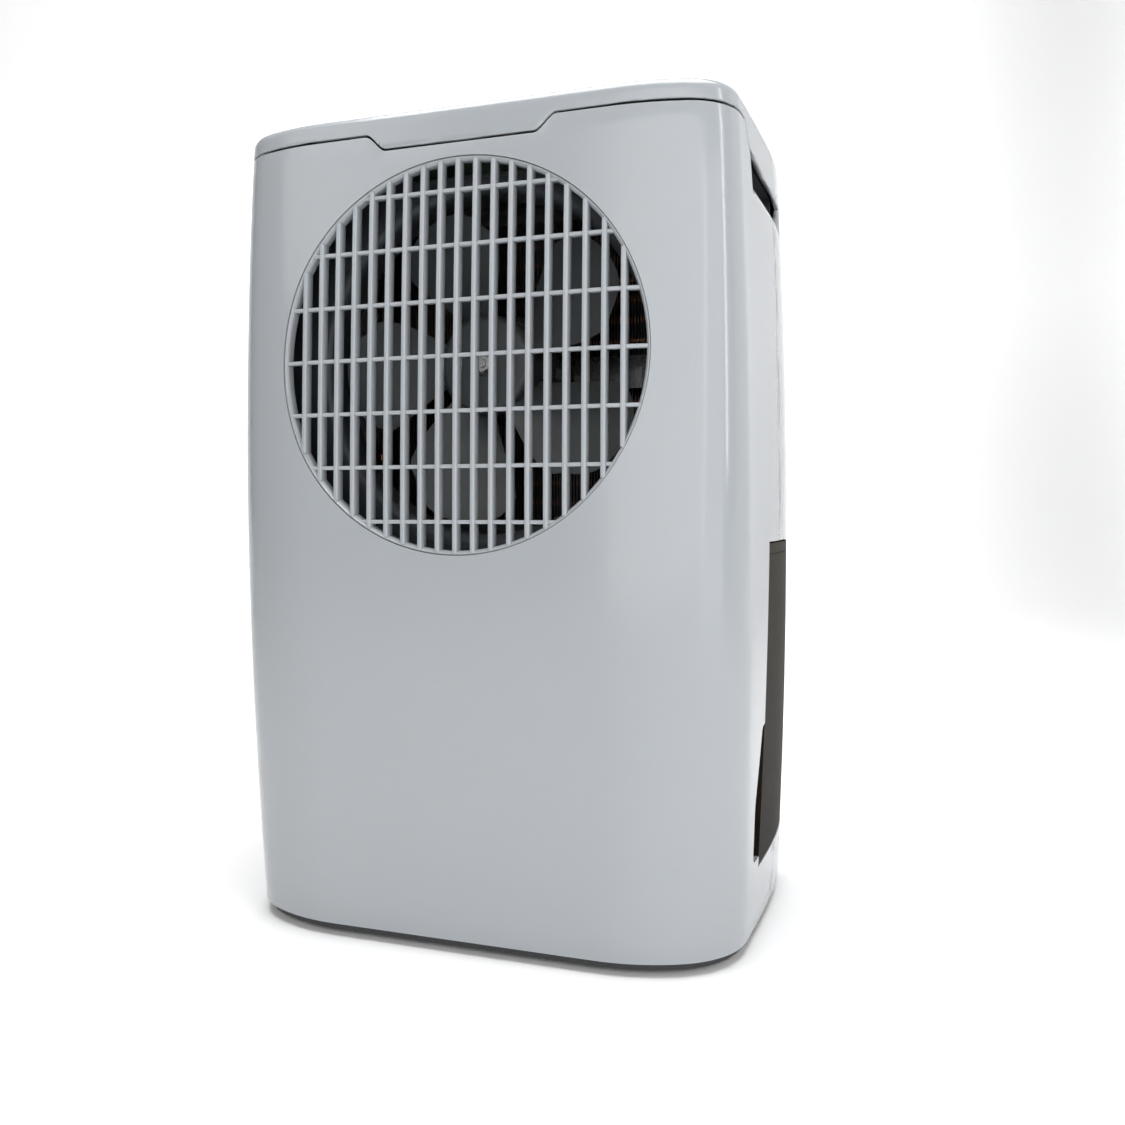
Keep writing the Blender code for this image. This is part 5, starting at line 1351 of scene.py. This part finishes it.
def tube_piece(name, routes, radius, sides=12):
    """Closed round tubes along lists of points, as one mesh."""
    verts = []
    faces = []
    for points in routes:
        points = [Vector(p) for p in points]
        base = len(verts)
        side = None
        for k, point in enumerate(points):
            ahead = (points[min(k + 1, len(points) - 1)] - points[max(k - 1, 0)]).normalized()
            if side is None:
                side = ahead.orthogonal().normalized()
            side = (side - ahead * side.dot(ahead)).normalized()
            up = ahead.cross(side)
            for j in range(sides):
                turn = 2 * math.pi * j / sides
                verts.append(tuple(point + (side * math.cos(turn) + up * math.sin(turn)) * radius))
        for k in range(len(points) - 1):
            for j in range(sides):
                a = base + k * sides + j
                b = base + k * sides + (j + 1) % sides
                faces.append((a, b, b + sides, a + sides))
        faces.append(tuple(range(base, base + sides)))
        faces.append(tuple(range(len(verts) - sides, len(verts))))
    return mesh_piece(name, verts, faces)


def make_coil(node, rows, first_side):
    low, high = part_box(node)
    plate = 0.0015
    front, rear = low.y + plate, high.y - plate
    bottom, top = low.z + plate, high.z - plate
    half = high.x - 2 * plate
    centre_y = (front + rear) / 2
    values = {
        "Count": int(2 * half / 0.0019),
        "Pitch": 0.0019,
        "Fin Size": (0.0003, rear - front, top - bottom),
        "Centre": (0.0, centre_y, (bottom + top) / 2),
        "Lean": 0.02,
        "Seed": 4,
        "Material": coil_aluminium,
    }
    fins = grow_piece(f"{node}_fins", fin_tree, values, "root")
    plates = []
    for side in (-1, 1):
        x_pair = sorted((side * half, side * (half + 0.0012)))
        corner = round_corners((rear - front) / 2 + plate, (top - bottom) / 2 + plate,
                               (centre_y, (bottom + top) / 2), 0.002, 3)
        plates.append(outline_prism("plate", corner, "X", *x_pair))
    ends = join_into(plates[0], plates[1])
    ends.name = f"{node}_end_plates"
    ends.data.materials.append(zinc_sheet)
    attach(ends, "root")
    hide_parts(node)
    routes = []
    pitch = 0.0127
    count = int((top - bottom - 0.012) / pitch)
    start = (bottom + top) / 2 - pitch * (count - 1) / 2
    for row in range(rows):
        y = centre_y + (row - (rows - 1) / 2) * 0.011
        for k in range(count):
            z = start + k * pitch + (row % 2) * 0.003
            routes.append(((-half - 0.0014, y, z), (half + 0.0014, y, z)))
        for k in range(count - 1):
            side = 1 if (k + first_side + row) % 2 else -1
            z = start + (k + 0.5) * pitch + (row % 2) * 0.003
            bend = []
            for j in range(9):
                turn = math.pi * (j / 8 - 0.5)
                bend.append((side * (half + 0.0012 + pitch / 2 * math.cos(turn) * 0.8),
                             y, z + pitch / 2 * math.sin(turn)))
            routes.append(bend)
    tubes = tube_piece(f"{node}_tubes", routes, 0.0034)
    tubes.data.materials.append(copper_tube)
    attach(tubes, "root")


fin_tree = make_fin_tree()
make_coil("condenser_coil", 2, 0)
make_coil("evaporator_coil", 3, 1)
pipes = ("accumulator_pipe", "capillary_tube", "discharge_pipe", "liquid_line", "suction_pipe")
repaint(copper_tube, *pipes, "filter_drier")


# ---------------------------------------------------------------- tank and its bay
# The tank is blow-moulded in smoked polypropylene and runs on the dark bay behind the
# front panel. A white float on the lid's hinge tells the machine when it is full.
def make_smoked_surface():
    """Tinted see-through plastic: deeper tone low down, flow streaks and fine scuffs."""
    tree, given, result = group_tree(
        "smoked_plastic",
        {
            "Colour": (0.06, 0.04, 0.02, 1.0), "Deep Colour": (0.02, 0.012, 0.006, 1.0),
            "Low": 0.04, "High": 0.22, "Roughness": 0.15, "Scuff Depth": 0.15,
        },
    )
    place = tree.nodes.new("ShaderNodeTexCoord").outputs["Object"]
    split = tree.nodes.new("ShaderNodeSeparateXYZ")
    tree.links.new(place, split.inputs[0])
    rise = tree.nodes.new("ShaderNodeMapRange")
    tree.links.new(split.outputs["Z"], rise.inputs["Value"])
    tree.links.new(given.outputs["Low"], rise.inputs["From Min"])
    tree.links.new(given.outputs["High"], rise.inputs["From Max"])
    streak = noise_on(tree, place, 22.0, 4.0, 0.6)
    mix = tree_math(tree, "MULTIPLY_ADD", streak, 0.5, rise.outputs[0])
    mix = tree_math(tree, "SUBTRACT", mix, 0.25)
    tone = colour_mix(tree, mix, given.outputs["Deep Colour"], given.outputs["Colour"])
    tree.links.new(tone, result.inputs["Colour"])
    scuff = noise_on(tree, place, 500.0, 6.0, 0.75)
    rough = tree_math(tree, "MULTIPLY_ADD", scuff, 0.22, given.outputs["Roughness"])
    tree.links.new(rough, result.inputs["Roughness"])
    add_relief(tree, scuff, given.outputs["Scuff Depth"], result)
    return tree


smoked = make_smoked_surface()
tank_plastic = material_with(
    "smoked_tank_plastic",
    smoked,
    {"Colour": (0.034, 0.028, 0.022), "Deep Colour": (0.012, 0.009, 0.007), "Roughness": 0.34},
    {"Transmission Weight": 0.1, "IOR": 1.12, "Specular IOR Level": 0.1},
)
white_plastic = material_with(
    "float_foam_plastic",
    moulded_surface,
    {
        "Colour": (0.74, 0.73, 0.69), "Mottle": 0.08, "Roughness": 0.5, "Grain Scale": 700.0,
        "Grain Depth": 0.5,
    },
)
dark_plastic = material_with(
    "dark_grained_plastic",
    moulded_surface,
    {
        "Colour": (0.040, 0.043, 0.047), "Mottle": 0.25, "Roughness": 0.5,
        "Roughness Spread": 0.10, "Grain Scale": 1300.0, "Grain Depth": 0.5, "Dust": 0.08,
    },
)
repaint(tank_plastic, "water_tank", "tank_lid")
repaint(white_plastic, "tank_float")
repaint(dark_plastic, "tank_bay", "drip_tray", "tank_switch", "terminal_cover")
repaint(foot_rubber, "compressor_grommet_1", "compressor_grommet_2", "compressor_grommet_3")


# ---------------------------------------------------------------- grips and finger cups
# Pockets behind the two carrying grips and beside the tank's front edge, coloured near-black as painted
# shade inside the recesses. They are moulded with a coarse grain so that fingers don't slip.
# Near-black colour is painted shade for the recesses' interiors; the coarse grain is the insert's own.
grip_plastic = material_with(
    "coarse_grip_plastic",
    moulded_surface,
    {
        "Colour": (0.034, 0.036, 0.039), "Mottle": 0.3, "Roughness": 0.58, "Grain Scale": 620.0,
        "Grain Depth": 0.9, "Dust": 0.15,
    },
)
grips = ("grip_insert_left", "grip_insert_right", "finger_cup_left", "finger_cup_right")
repaint(grip_plastic, *grips)


# ---------------------------------------------------------------- control deck
# Dark tray let into the top cover. A fluted knob turns the humidistat, three round
# buttons carry plain painted signs, and three lens lamps stand behind them.
deck_low, deck_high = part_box("control_deck")
knob_low, knob_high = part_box("humidistat_knob")
knob_x = -0.050
deck_y = deck_centre[1]
button_x = (0.000, 0.026, 0.052)
button_y = -0.060
lamp_y = -0.041
deck_surface = height - 0.0070
button_radius = 0.0075
button_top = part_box("power_button")[1].z
button_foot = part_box("power_button")[0].z

knob_plastic = material_with(
    "satin_knob_plastic",
    moulded_surface,
    {
        "Colour": (0.36, 0.38, 0.40), "Mottle": 0.04, "Roughness": 0.32, "Grain Scale": 1700.0,
        "Grain Depth": 0.2, "Dust": 0.04,
    },
)
sign_paint = material_with(
    "white_pad_print",
    moulded_surface,
    {"Colour": (0.80, 0.80, 0.78), "Mottle": 0.05, "Roughness": 0.55, "Grain Depth": 0.15},
)
board_resist = material_with(
    "green_board_lacquer",
    moulded_surface,
    {"Colour": (0.020, 0.14, 0.055), "Mottle": 0.4, "Roughness": 0.30, "Grain Scale": 260.0},
)


def turned_up(name, profile, spot, sides=64, flute=None):
    """Closed profile of (radius, z) turned about an upright line, with optional flutes."""
    verts = []
    faces = []
    rings = []
    for radius, z in profile:
        if radius == 0.0:
            rings.append([len(verts)])
            verts.append((*spot, z))
            continue
        ring = []
        for k in range(sides):
            turn = 2 * math.pi * k / sides
            reach = radius - (flute(turn, radius, z) if flute else 0.0)
            ring.append(len(verts))
            verts.append((spot[0] + reach * math.cos(turn), spot[1] + reach * math.sin(turn), z))
        rings.append(ring)
    for one, two in zip(rings, rings[1:]):
        for k in range(sides):
            n = (k + 1) % sides
            if len(one) == 1 and len(two) == 1:
                continue
            if len(one) == 1:
                faces.append((one[0], two[k], two[n]))
            elif len(two) == 1:
                faces.append((one[k], one[n], two[0]))
            else:
                faces.append((one[k], one[n], two[n], two[k]))
    return mesh_piece(name, verts, faces)


def make_deck():
    edge = 0.0007
    gap = 0.0003
    outer = (deck_half[0] - gap, deck_half[1] - gap, deck_corner - gap)
    rim = 0.0015
    levels = [
        (0.0, deck_low.z),
        (0.0, deck_high.z - edge),
        (edge * 0.3, deck_high.z - edge * 0.3),
        (edge, deck_high.z),
        (rim, deck_high.z - 0.0002),
        (rim + 0.0003, deck_surface + 0.0016),
        (rim + 0.0008, deck_surface + 0.0005),
        (rim + 0.0020, deck_surface),
    ]
    verts = []
    faces = []
    size = 0
    for inset, z in levels:
        corner = max(outer[2] - inset, 0.003)
        loop = round_corners(outer[0] - inset, outer[1] - inset, deck_centre, corner, 10)
        size = len(loop)
        verts += [(x, y, z) for x, y in loop]
    for k in range(len(levels) - 1):
        for j in range(size):
            n = (j + 1) % size
            faces.append((k * size + j, k * size + n, (k + 1) * size + n, (k + 1) * size + j))
    faces.append(tuple(range(size)))
    faces.append(tuple(range(len(verts) - size, len(verts))))
    deck = mesh_piece("control_deck_moulding", verts, faces)
    cutters = []
    for x in button_x:
        for y, radius in ((button_y, button_radius + 0.0003), (lamp_y, 0.00235)):
            hole = [(radius, height - 0.02), (radius, deck_surface - 0.0004)]
            hole += [(radius + 0.0004, deck_surface), (radius + 0.0004, height)]
            hole = [(0.0, height - 0.02)] + hole + [(0.0, height)]
            cutters.append(turned_up("hole", hole, (x, y), 40))
    stem = [(0.0, height - 0.02), (0.0038, height - 0.02), (0.0038, height), (0.0, height)]
    cutters.append(turned_up("hole", stem, (knob_x, deck_y), 32))
    carve(deck, *cutters)
    deck.data.shade_smooth()
    deck.data.set_sharp_from_angle(angle=math.radians(32))
    show(deck, dark_plastic, "root", "dark_plastic", "control_deck")


def make_knob():
    radius = (knob_high.x - knob_low.x) / 2
    base = deck_surface + 0.0003
    top = knob_high.z
    grip = radius * 0.93

    def flute(turn, reach, z):
        if reach < grip * 0.97 or z < base + 0.0015:
            return 0.0
        return 0.0007 * (0.5 + 0.5 * math.cos(24 * turn)) ** 2

    profile = [(0.0, knob_low.z), (0.0030, knob_low.z), (0.0030, base), (radius - 0.0003, base)]
    profile += [(radius, base + 0.0003), (radius, base + 0.0009), (radius - 0.0006, base + 0.0013)]
    profile += [(grip, base + 0.0018), (grip - 0.0001, top - 0.0012), (grip - 0.0004, top - 0.0005)]
    profile += [(grip - 0.0012, top), (grip - 0.0035, top - 0.0001), (grip - 0.0060, top - 0.0006)]
    profile += [(0.0, top - 0.0008)]
    knob = turned_up("humidistat_knob_moulding", profile, (knob_x, deck_y), 192, flute)
    show(knob, knob_plastic, "humidistat_knob", "knob_plastic", "humidistat_knob")
    mark = round_corners(0.0006, 0.0042, (knob_x, deck_y + 0.0085), 0.0005, 5)
    line = outline_prism("knob_pointer", mark, "Z", top - 0.0012, top - 0.0003)
    show(line, sign_paint, "humidistat_knob", "white_plastic")


def make_mark_tree():
    """Flat round marks along an arc, growing from the first to the last."""
    tree, given, result = node_tree(
        "scale_marks",
        {
            "Count": 11, "Radius": 0.022, "First Angle": 0.0, "Sweep": 4.7, "Smallest": 0.0004,
            "Largest": 0.0009, "Thickness": 0.0002, "Centre": (0.0, 0.0, 0.0), "Material": None,
        },
    )
    disc = add_node(
        tree,
        "GeometryNodeMeshCylinder",
        {"Depth": given["Thickness"]},
        {"Vertices": 24, "Radius": 1.0},
    )
    points = add_node(tree, "GeometryNodeMeshLine", {"Count": given["Count"]})
    row = add_node(tree, "GeometryNodeInputIndex").outputs[0]
    last = tree_math(tree, "SUBTRACT", given["Count"], 1.0)
    share = tree_math(tree, "DIVIDE", row, last)
    angle = tree_math(tree, "MULTIPLY_ADD", share, given["Sweep"], given["First Angle"])
    x = tree_math(tree, "MULTIPLY", tree_math(tree, "COSINE", angle), given["Radius"])
    y = tree_math(tree, "MULTIPLY", tree_math(tree, "SINE", angle), given["Radius"])
    flat = add_node(tree, "ShaderNodeCombineXYZ", {0: x, 1: y})
    at = add_node(
        tree, "ShaderNodeVectorMath", {0: flat.outputs[0], 1: given["Centre"]}, operation="ADD"
    )
    placed = add_node(
        tree, "GeometryNodeSetPosition", {0: points.outputs[0], "Position": at.outputs[0]}
    )
    spread = tree_math(tree, "SUBTRACT", given["Largest"], given["Smallest"])
    size = tree_math(tree, "MULTIPLY_ADD", share, spread, given["Smallest"])
    scale = add_node(tree, "ShaderNodeCombineXYZ", {0: size, 1: size}, {2: 1.0})
    marks = add_node(
        tree,
        "GeometryNodeInstanceOnPoints",
        {"Points": placed.outputs[0], "Instance": disc.outputs[0], "Scale": scale.outputs[0]},
    )
    real = add_node(tree, "GeometryNodeRealizeInstances", {0: marks.outputs[0]})
    return paint_tree(tree, real, given, result)


def sign_band(points, half, low, high):
    """Flat painted line through points, as closed quads."""
    pieces = []
    for (x1, y1), (x2, y2) in zip(points, points[1:]):
        run = Vector((x2 - x1, y2 - y1))
        side = Vector((-run.y, run.x)).normalized() * half
        ends = [(x1 + side.x, y1 + side.y), (x2 + side.x, y2 + side.y)]
        ends += [(x2 - side.x, y2 - side.y), (x1 - side.x, y1 - side.y)]
        pieces.append(outline_prism("band", ends, "Z", low, high))
    return pieces


def arc_points(spot, radius, start, end, steps):
    turns = [math.radians(between((start, end), k / steps)) for k in range(steps + 1)]
    return [(spot[0] + radius * math.cos(t), spot[1] + radius * math.sin(t)) for t in turns]


def make_buttons():
    """Dished caps and their signs: a ring and stroke, three blades, a dial with hands."""
    dish = 0.0006
    low = button_top - dish - 0.0002
    high = button_top - dish + 0.0002
    half = 0.00028
    for name, x in zip(("power_button", "fan_speed_button", "timer_button"), button_x):
        spot = (x, button_y)
        profile = [(0.0, button_foot), (button_radius, button_foot)]
        profile += [(button_radius, button_top - 0.0009)]
        profile += [(button_radius - 0.0003, button_top - 0.0003)]
        profile += [(button_radius - 0.0009, button_top), (button_radius - 0.0016, button_top - 0.0002)]
        profile += [(button_radius - 0.0026, button_top - dish), (0.0, button_top - dish)]
        cap = turned_up(f"{name}_cap", profile, spot, 72)
        show(cap, knob_plastic, name, "button_plastic", name)
        if name == "power_button":
            bands = sign_band(arc_points(spot, 0.0024, 125, 415, 22), half, low, high)
            bands += sign_band([(x, button_y + 0.0006), (x, button_y + 0.0031)], half, low, high)
        elif name == "fan_speed_button":
            bands = []
            for k in range(3):
                start = 90 + 120 * k
                turn = math.radians(start)
                hub = (x + 0.0013 * math.cos(turn), button_y + 0.0013 * math.sin(turn))
                bands += sign_band(arc_points(hub, 0.0013, start - 150, start + 60, 12), half, low, high)
        else:
            bands = sign_band(arc_points(spot, 0.0025, 0, 360, 26), half, low, high)
            hands = [(x, button_y + 0.0017), spot, (x + 0.0012, button_y)]
            bands += sign_band(hands, half, low, high)
        sign = join_into(bands[0], *bands[1:])
        sign.name = f"{name}_sign"
        show(sign, sign_paint, name, "white_plastic")


def make_lens_material(name, colour):
    """Tinted lens over a lamp that is off: mottled body under a clear skin."""
    return material_with(
        name,
        moulded_surface,
        {"Colour": colour, "Mottle": 0.5, "Roughness": 0.14, "Grain Scale": 300.0, "Grain Depth": 0.1},
        {"Transmission Weight": 0.35, "Coat Weight": 0.6},
    )


make_deck()
make_knob()
make_buttons()
mark_values = {
    "Count": 11,
    "Radius": 0.0225,
    "First Angle": math.radians(225),
    "Sweep": math.radians(-270),
    "Smallest": 0.0003,
    "Largest": 0.0009,
    "Thickness": 0.0002,
    "Centre": (knob_x, deck_y, deck_surface),
    "Material": sign_paint,
}
marks = grow_piece("humidity_scale_marks", make_mark_tree(), mark_values, "root")
lamps = (
    ("power_lamp", (0.05, 0.42, 0.12)),
    ("tank_full_lamp", (0.55, 0.06, 0.03)),
    ("timer_lamp", (0.55, 0.30, 0.04)),
)
for node, tint in lamps:
    repaint(make_lens_material(f"{node}_lens", tint), node)
repaint(board_resist, "control_board")
repaint(dark_plastic, "humidistat_body", "humidity_sensor")


# ---------------------------------------------------------------- rear inlet grille
# Slatted cover that pulls off the rear with the washable filter behind it. The filter
# is a dark frame with a woven plastic net welded to its front.
inlet_low, inlet_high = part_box("inlet_grille")
slat_count = 13
slat_gap = 0.0085
inlet_plate = 0.003


def rear_of(z):
    return depth / 2 - rear_bulge * barrel(z)


def make_row_tree():
    """Upright row of rounded slats that follow the curve of the rear."""
    tree, given, result = node_tree(
        "rear_slats",
        {
            "Count": 13, "Pitch": 0.012, "Length": 0.2, "Thickness": 0.003, "Depth": 0.008,
            "Tilt": 0.3, "Middle": 0.33, "Rear": 0.11, "Bulge": 0.003, "Half Height": 0.2325,
            "Material": None,
        },
    )
    path = add_node(
        tree, "GeometryNodeCurvePrimitiveLine", values={0: (0, 0, -0.5), 1: (0, 0, 0.5)}
    )
    section = add_node(
        tree,
        "GeometryNodeCurvePrimitiveQuadrilateral",
        {"Width": given["Thickness"], "Height": given["Depth"]},
    )
    section = add_node(
        tree,
        "GeometryNodeFilletCurve",
        {0: section.outputs[0], "Radius": tree_math(tree, "MULTIPLY", given["Thickness"], 0.35)},
        {"Count": 3},
        mode="POLY",
    )
    slat = add_node(
        tree,
        "GeometryNodeCurveToMesh",
        {0: path.outputs[0], 1: section.outputs[0]},
        {"Fill Caps": True},
    )
    slat = add_node(
        tree, "GeometryNodeTransform", {0: slat.outputs[0]}, {"Rotation": (0, math.pi / 2, 0)}
    )
    line = add_node(tree, "GeometryNodeMeshLine", {"Count": given["Count"]})
    row = add_node(tree, "GeometryNodeInputIndex").outputs[0]
    middle = tree_math(tree, "MULTIPLY", tree_math(tree, "SUBTRACT", given["Count"], 1.0), 0.5)
    rise = tree_math(tree, "MULTIPLY", tree_math(tree, "SUBTRACT", row, middle), given["Pitch"])
    level = tree_math(tree, "ADD", rise, given["Middle"])
    share = tree_math(tree, "SUBTRACT", tree_math(tree, "DIVIDE", level, given["Half Height"]), 1.0)
    fall = tree_math(tree, "MULTIPLY", tree_math(tree, "MULTIPLY", share, share), given["Bulge"])
    half = tree_math(tree, "MULTIPLY", given["Depth"], 0.5)
    y = tree_math(tree, "SUBTRACT", tree_math(tree, "SUBTRACT", given["Rear"], fall), half)
    spot = add_node(tree, "ShaderNodeCombineXYZ", {1: y, 2: level})
    placed = add_node(
        tree, "GeometryNodeSetPosition", {0: line.outputs[0], "Position": spot.outputs[0]}
    )
    lie = add_node(tree, "ShaderNodeCombineXYZ", {0: given["Tilt"]})
    scale = add_node(tree, "ShaderNodeCombineXYZ", {0: given["Length"]}, {1: 1.0, 2: 1.0})
    slats = add_node(
        tree,
        "GeometryNodeInstanceOnPoints",
        {
            "Points": placed.outputs[0], "Instance": slat.outputs[0],
            "Rotation": lie.outputs[0], "Scale": scale.outputs[0],
        },
    )
    real = add_node(tree, "GeometryNodeRealizeInstances", {0: slats.outputs[0]})
    return paint_tree(tree, real, given, result)


def make_inlet():
    low_z, high_z = inlet_low.z, inlet_high.z
    half = inlet_high.x
    tall = (high_z - low_z) / 2
    centre = (0.0, (low_z + high_z) / 2)
    corner = inlet_border - 0.0006
    edge = 0.0008
    back = 0.0103
    window = inlet_border
    levels = [
        (inlet_plate, -back),
        (0.0, -back),
        (0.0, -0.0003 - edge),
        (edge * 0.3, -0.0003 - edge * 0.3),
        (edge, -0.0003),
        (window - 0.0006, -0.0003),
        (window, -0.0010),
        (window, -inlet_plate - 0.0003),
        (inlet_plate, -inlet_plate - 0.0003),
    ]
    verts = []
    faces = []
    size = 0
    for inset, y in levels:
        round_by = max(corner - inset, 0.0025)
        loop = round_corners(half - inset, tall - inset, centre, round_by, 10)
        size = len(loop)
        verts += [(x, y + rear_of(z), z) for x, z in loop]
    count = len(levels)
    for k in range(count):
        m = (k + 1) % count
        for j in range(size):
            n = (j + 1) % size
            faces.append((k * size + j, k * size + n, m * size + n, m * size + j))
    frame_piece = mesh_piece("inlet_frame", verts, faces)
    show(frame_piece, casing_plastic, "inlet", "casing", "inlet_grille")
    pitch = (2 * tall - 2 * inlet_border) / slat_count
    values = {
        "Count": slat_count + 1,
        "Pitch": pitch,
        "Length": 2 * (half - inlet_border) + 0.003,
        "Thickness": pitch - slat_gap,
        "Depth": 0.0062,
        "Tilt": math.radians(14),
        "Middle": centre[1],
        "Rear": depth / 2 - 0.0009,
        "Bulge": rear_bulge,
        "Half Height": height / 2,
        "Material": casing_plastic,
    }
    slats = grow_piece("inlet_slats", make_row_tree(), values, "inlet")
    rib = []
    steps = 12
    for k in range(steps + 1):
        z = between((low_z + inlet_border - 0.001, high_z - inlet_border + 0.001), k / steps)
        for x, y in ((-0.003, -0.0045), (0.003, -0.0045), (0.003, -0.0014), (0.0024, -0.0009),
                     (-0.0024, -0.0009), (-0.003, -0.0014)):
            rib.append((x, y + rear_of(z), z))
    faces = []
    for k in range(steps):
        for j in range(6):
            n = (j + 1) % 6
            faces.append((k * 6 + j, k * 6 + n, k * 6 + 6 + n, k * 6 + 6 + j))
    faces += [tuple(range(6)), tuple(range(steps * 6, steps * 6 + 6))]
    show(mesh_piece("inlet_rib", rib, faces), casing_plastic, "inlet", "casing")


filter_net = material_with(
    "woven_filter_net",
    moulded_surface,
    {
        "Colour": (0.030, 0.031, 0.034), "Mottle": 0.4, "Roughness": 0.6, "Grain Scale": 2400.0,
        "Grain Depth": 0.4, "Dust": 0.5,
    },
)


def make_net():
    low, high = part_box("air_filter_mesh")
    pitch = 0.0024
    thread = 0.0004
    across = grow_piece(
        "filter_net_upright",
        fin_tree,
        {
            "Count": int((high.x - low.x - 0.002) / pitch), "Pitch": pitch,
            "Fin Size": (thread, thread, high.z - low.z - 0.001),
            "Centre": (0.0, (low.y + high.y) / 2 + thread / 2, (low.z + high.z) / 2),
            "Lean": 0.0, "Seed": 1, "Material": filter_net,
        },
        "inlet",
    )
    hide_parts("air_filter_mesh")
    level = grow_piece(
        "filter_net_level",
        make_row_tree(),
        {
            "Count": int((high.z - low.z - 0.002) / pitch), "Pitch": pitch,
            "Length": high.x - low.x - 0.001, "Thickness": thread, "Depth": thread, "Tilt": 0.0,
            "Middle": (low.z + high.z) / 2, "Rear": (low.y + high.y) / 2, "Bulge": 0.0,
            "Half Height": height / 2, "Material": filter_net,
        },
        "inlet",
    )


make_inlet()
make_net()
repaint(dark_plastic, "air_filter_frame")


# ---------------------------------------------------------------- screws and gland
# Four cross-head screws hold the rear covers. The cord's way in is a rubber bush.
screw_steel = material_with(
    "zinc_screw",
    worn_metal,
    {"Colour": (0.58, 0.59, 0.60), "Dirt": 0.4, "Roughness": 0.3, "Grain Scale": 1500.0},
    METAL,
)


def make_screw(name, x, z):
    """Pan head with a cross recess, seated in its countersunk hole."""
    top = rear_of(z) - 0.0006
    head = 0.0036
    profile = [(0.0, 0.0)]
    profile += [(head * 0.62, -0.0001), (head * 0.85, -0.0004), (head, -0.0011), (head, -0.0018)]
    profile += [(0.0016, -0.0018), (0.0016, -0.0092), (0.0, -0.0098)]
    screw = turned_up(f"{name}_head", [(r, y) for r, y in profile], (0.0, 0.0), 40)
    for vertex in screw.data.vertices:
        flat_x, flat_y, level = vertex.co
        vertex.co = (x + flat_x, top + level, z + flat_y)
    arm, slot_half = 0.0021, 0.00045
    for tall in (False, True):
        across = (slot_half, arm) if tall else (arm, slot_half)
        cross = round_corners(*across, (x, z), 0.0002, 2)
        carve(screw, outline_prism("recess", cross, "Y", top - 0.0012, top + 0.01))
    screw.data.shade_smooth()
    screw.data.set_sharp_from_angle(angle=math.radians(32))
    show(screw, screw_steel, "root", "steel", name)


for level_name, z in (("lower", screw_z[0]), ("upper", screw_z[1])):
    for side_name, side in (("left", -1), ("right", 1)):
        make_screw(f"rear_screw_{level_name}_{side_name}", side * screw_x, z)
repaint(foot_rubber, "cord_gland")
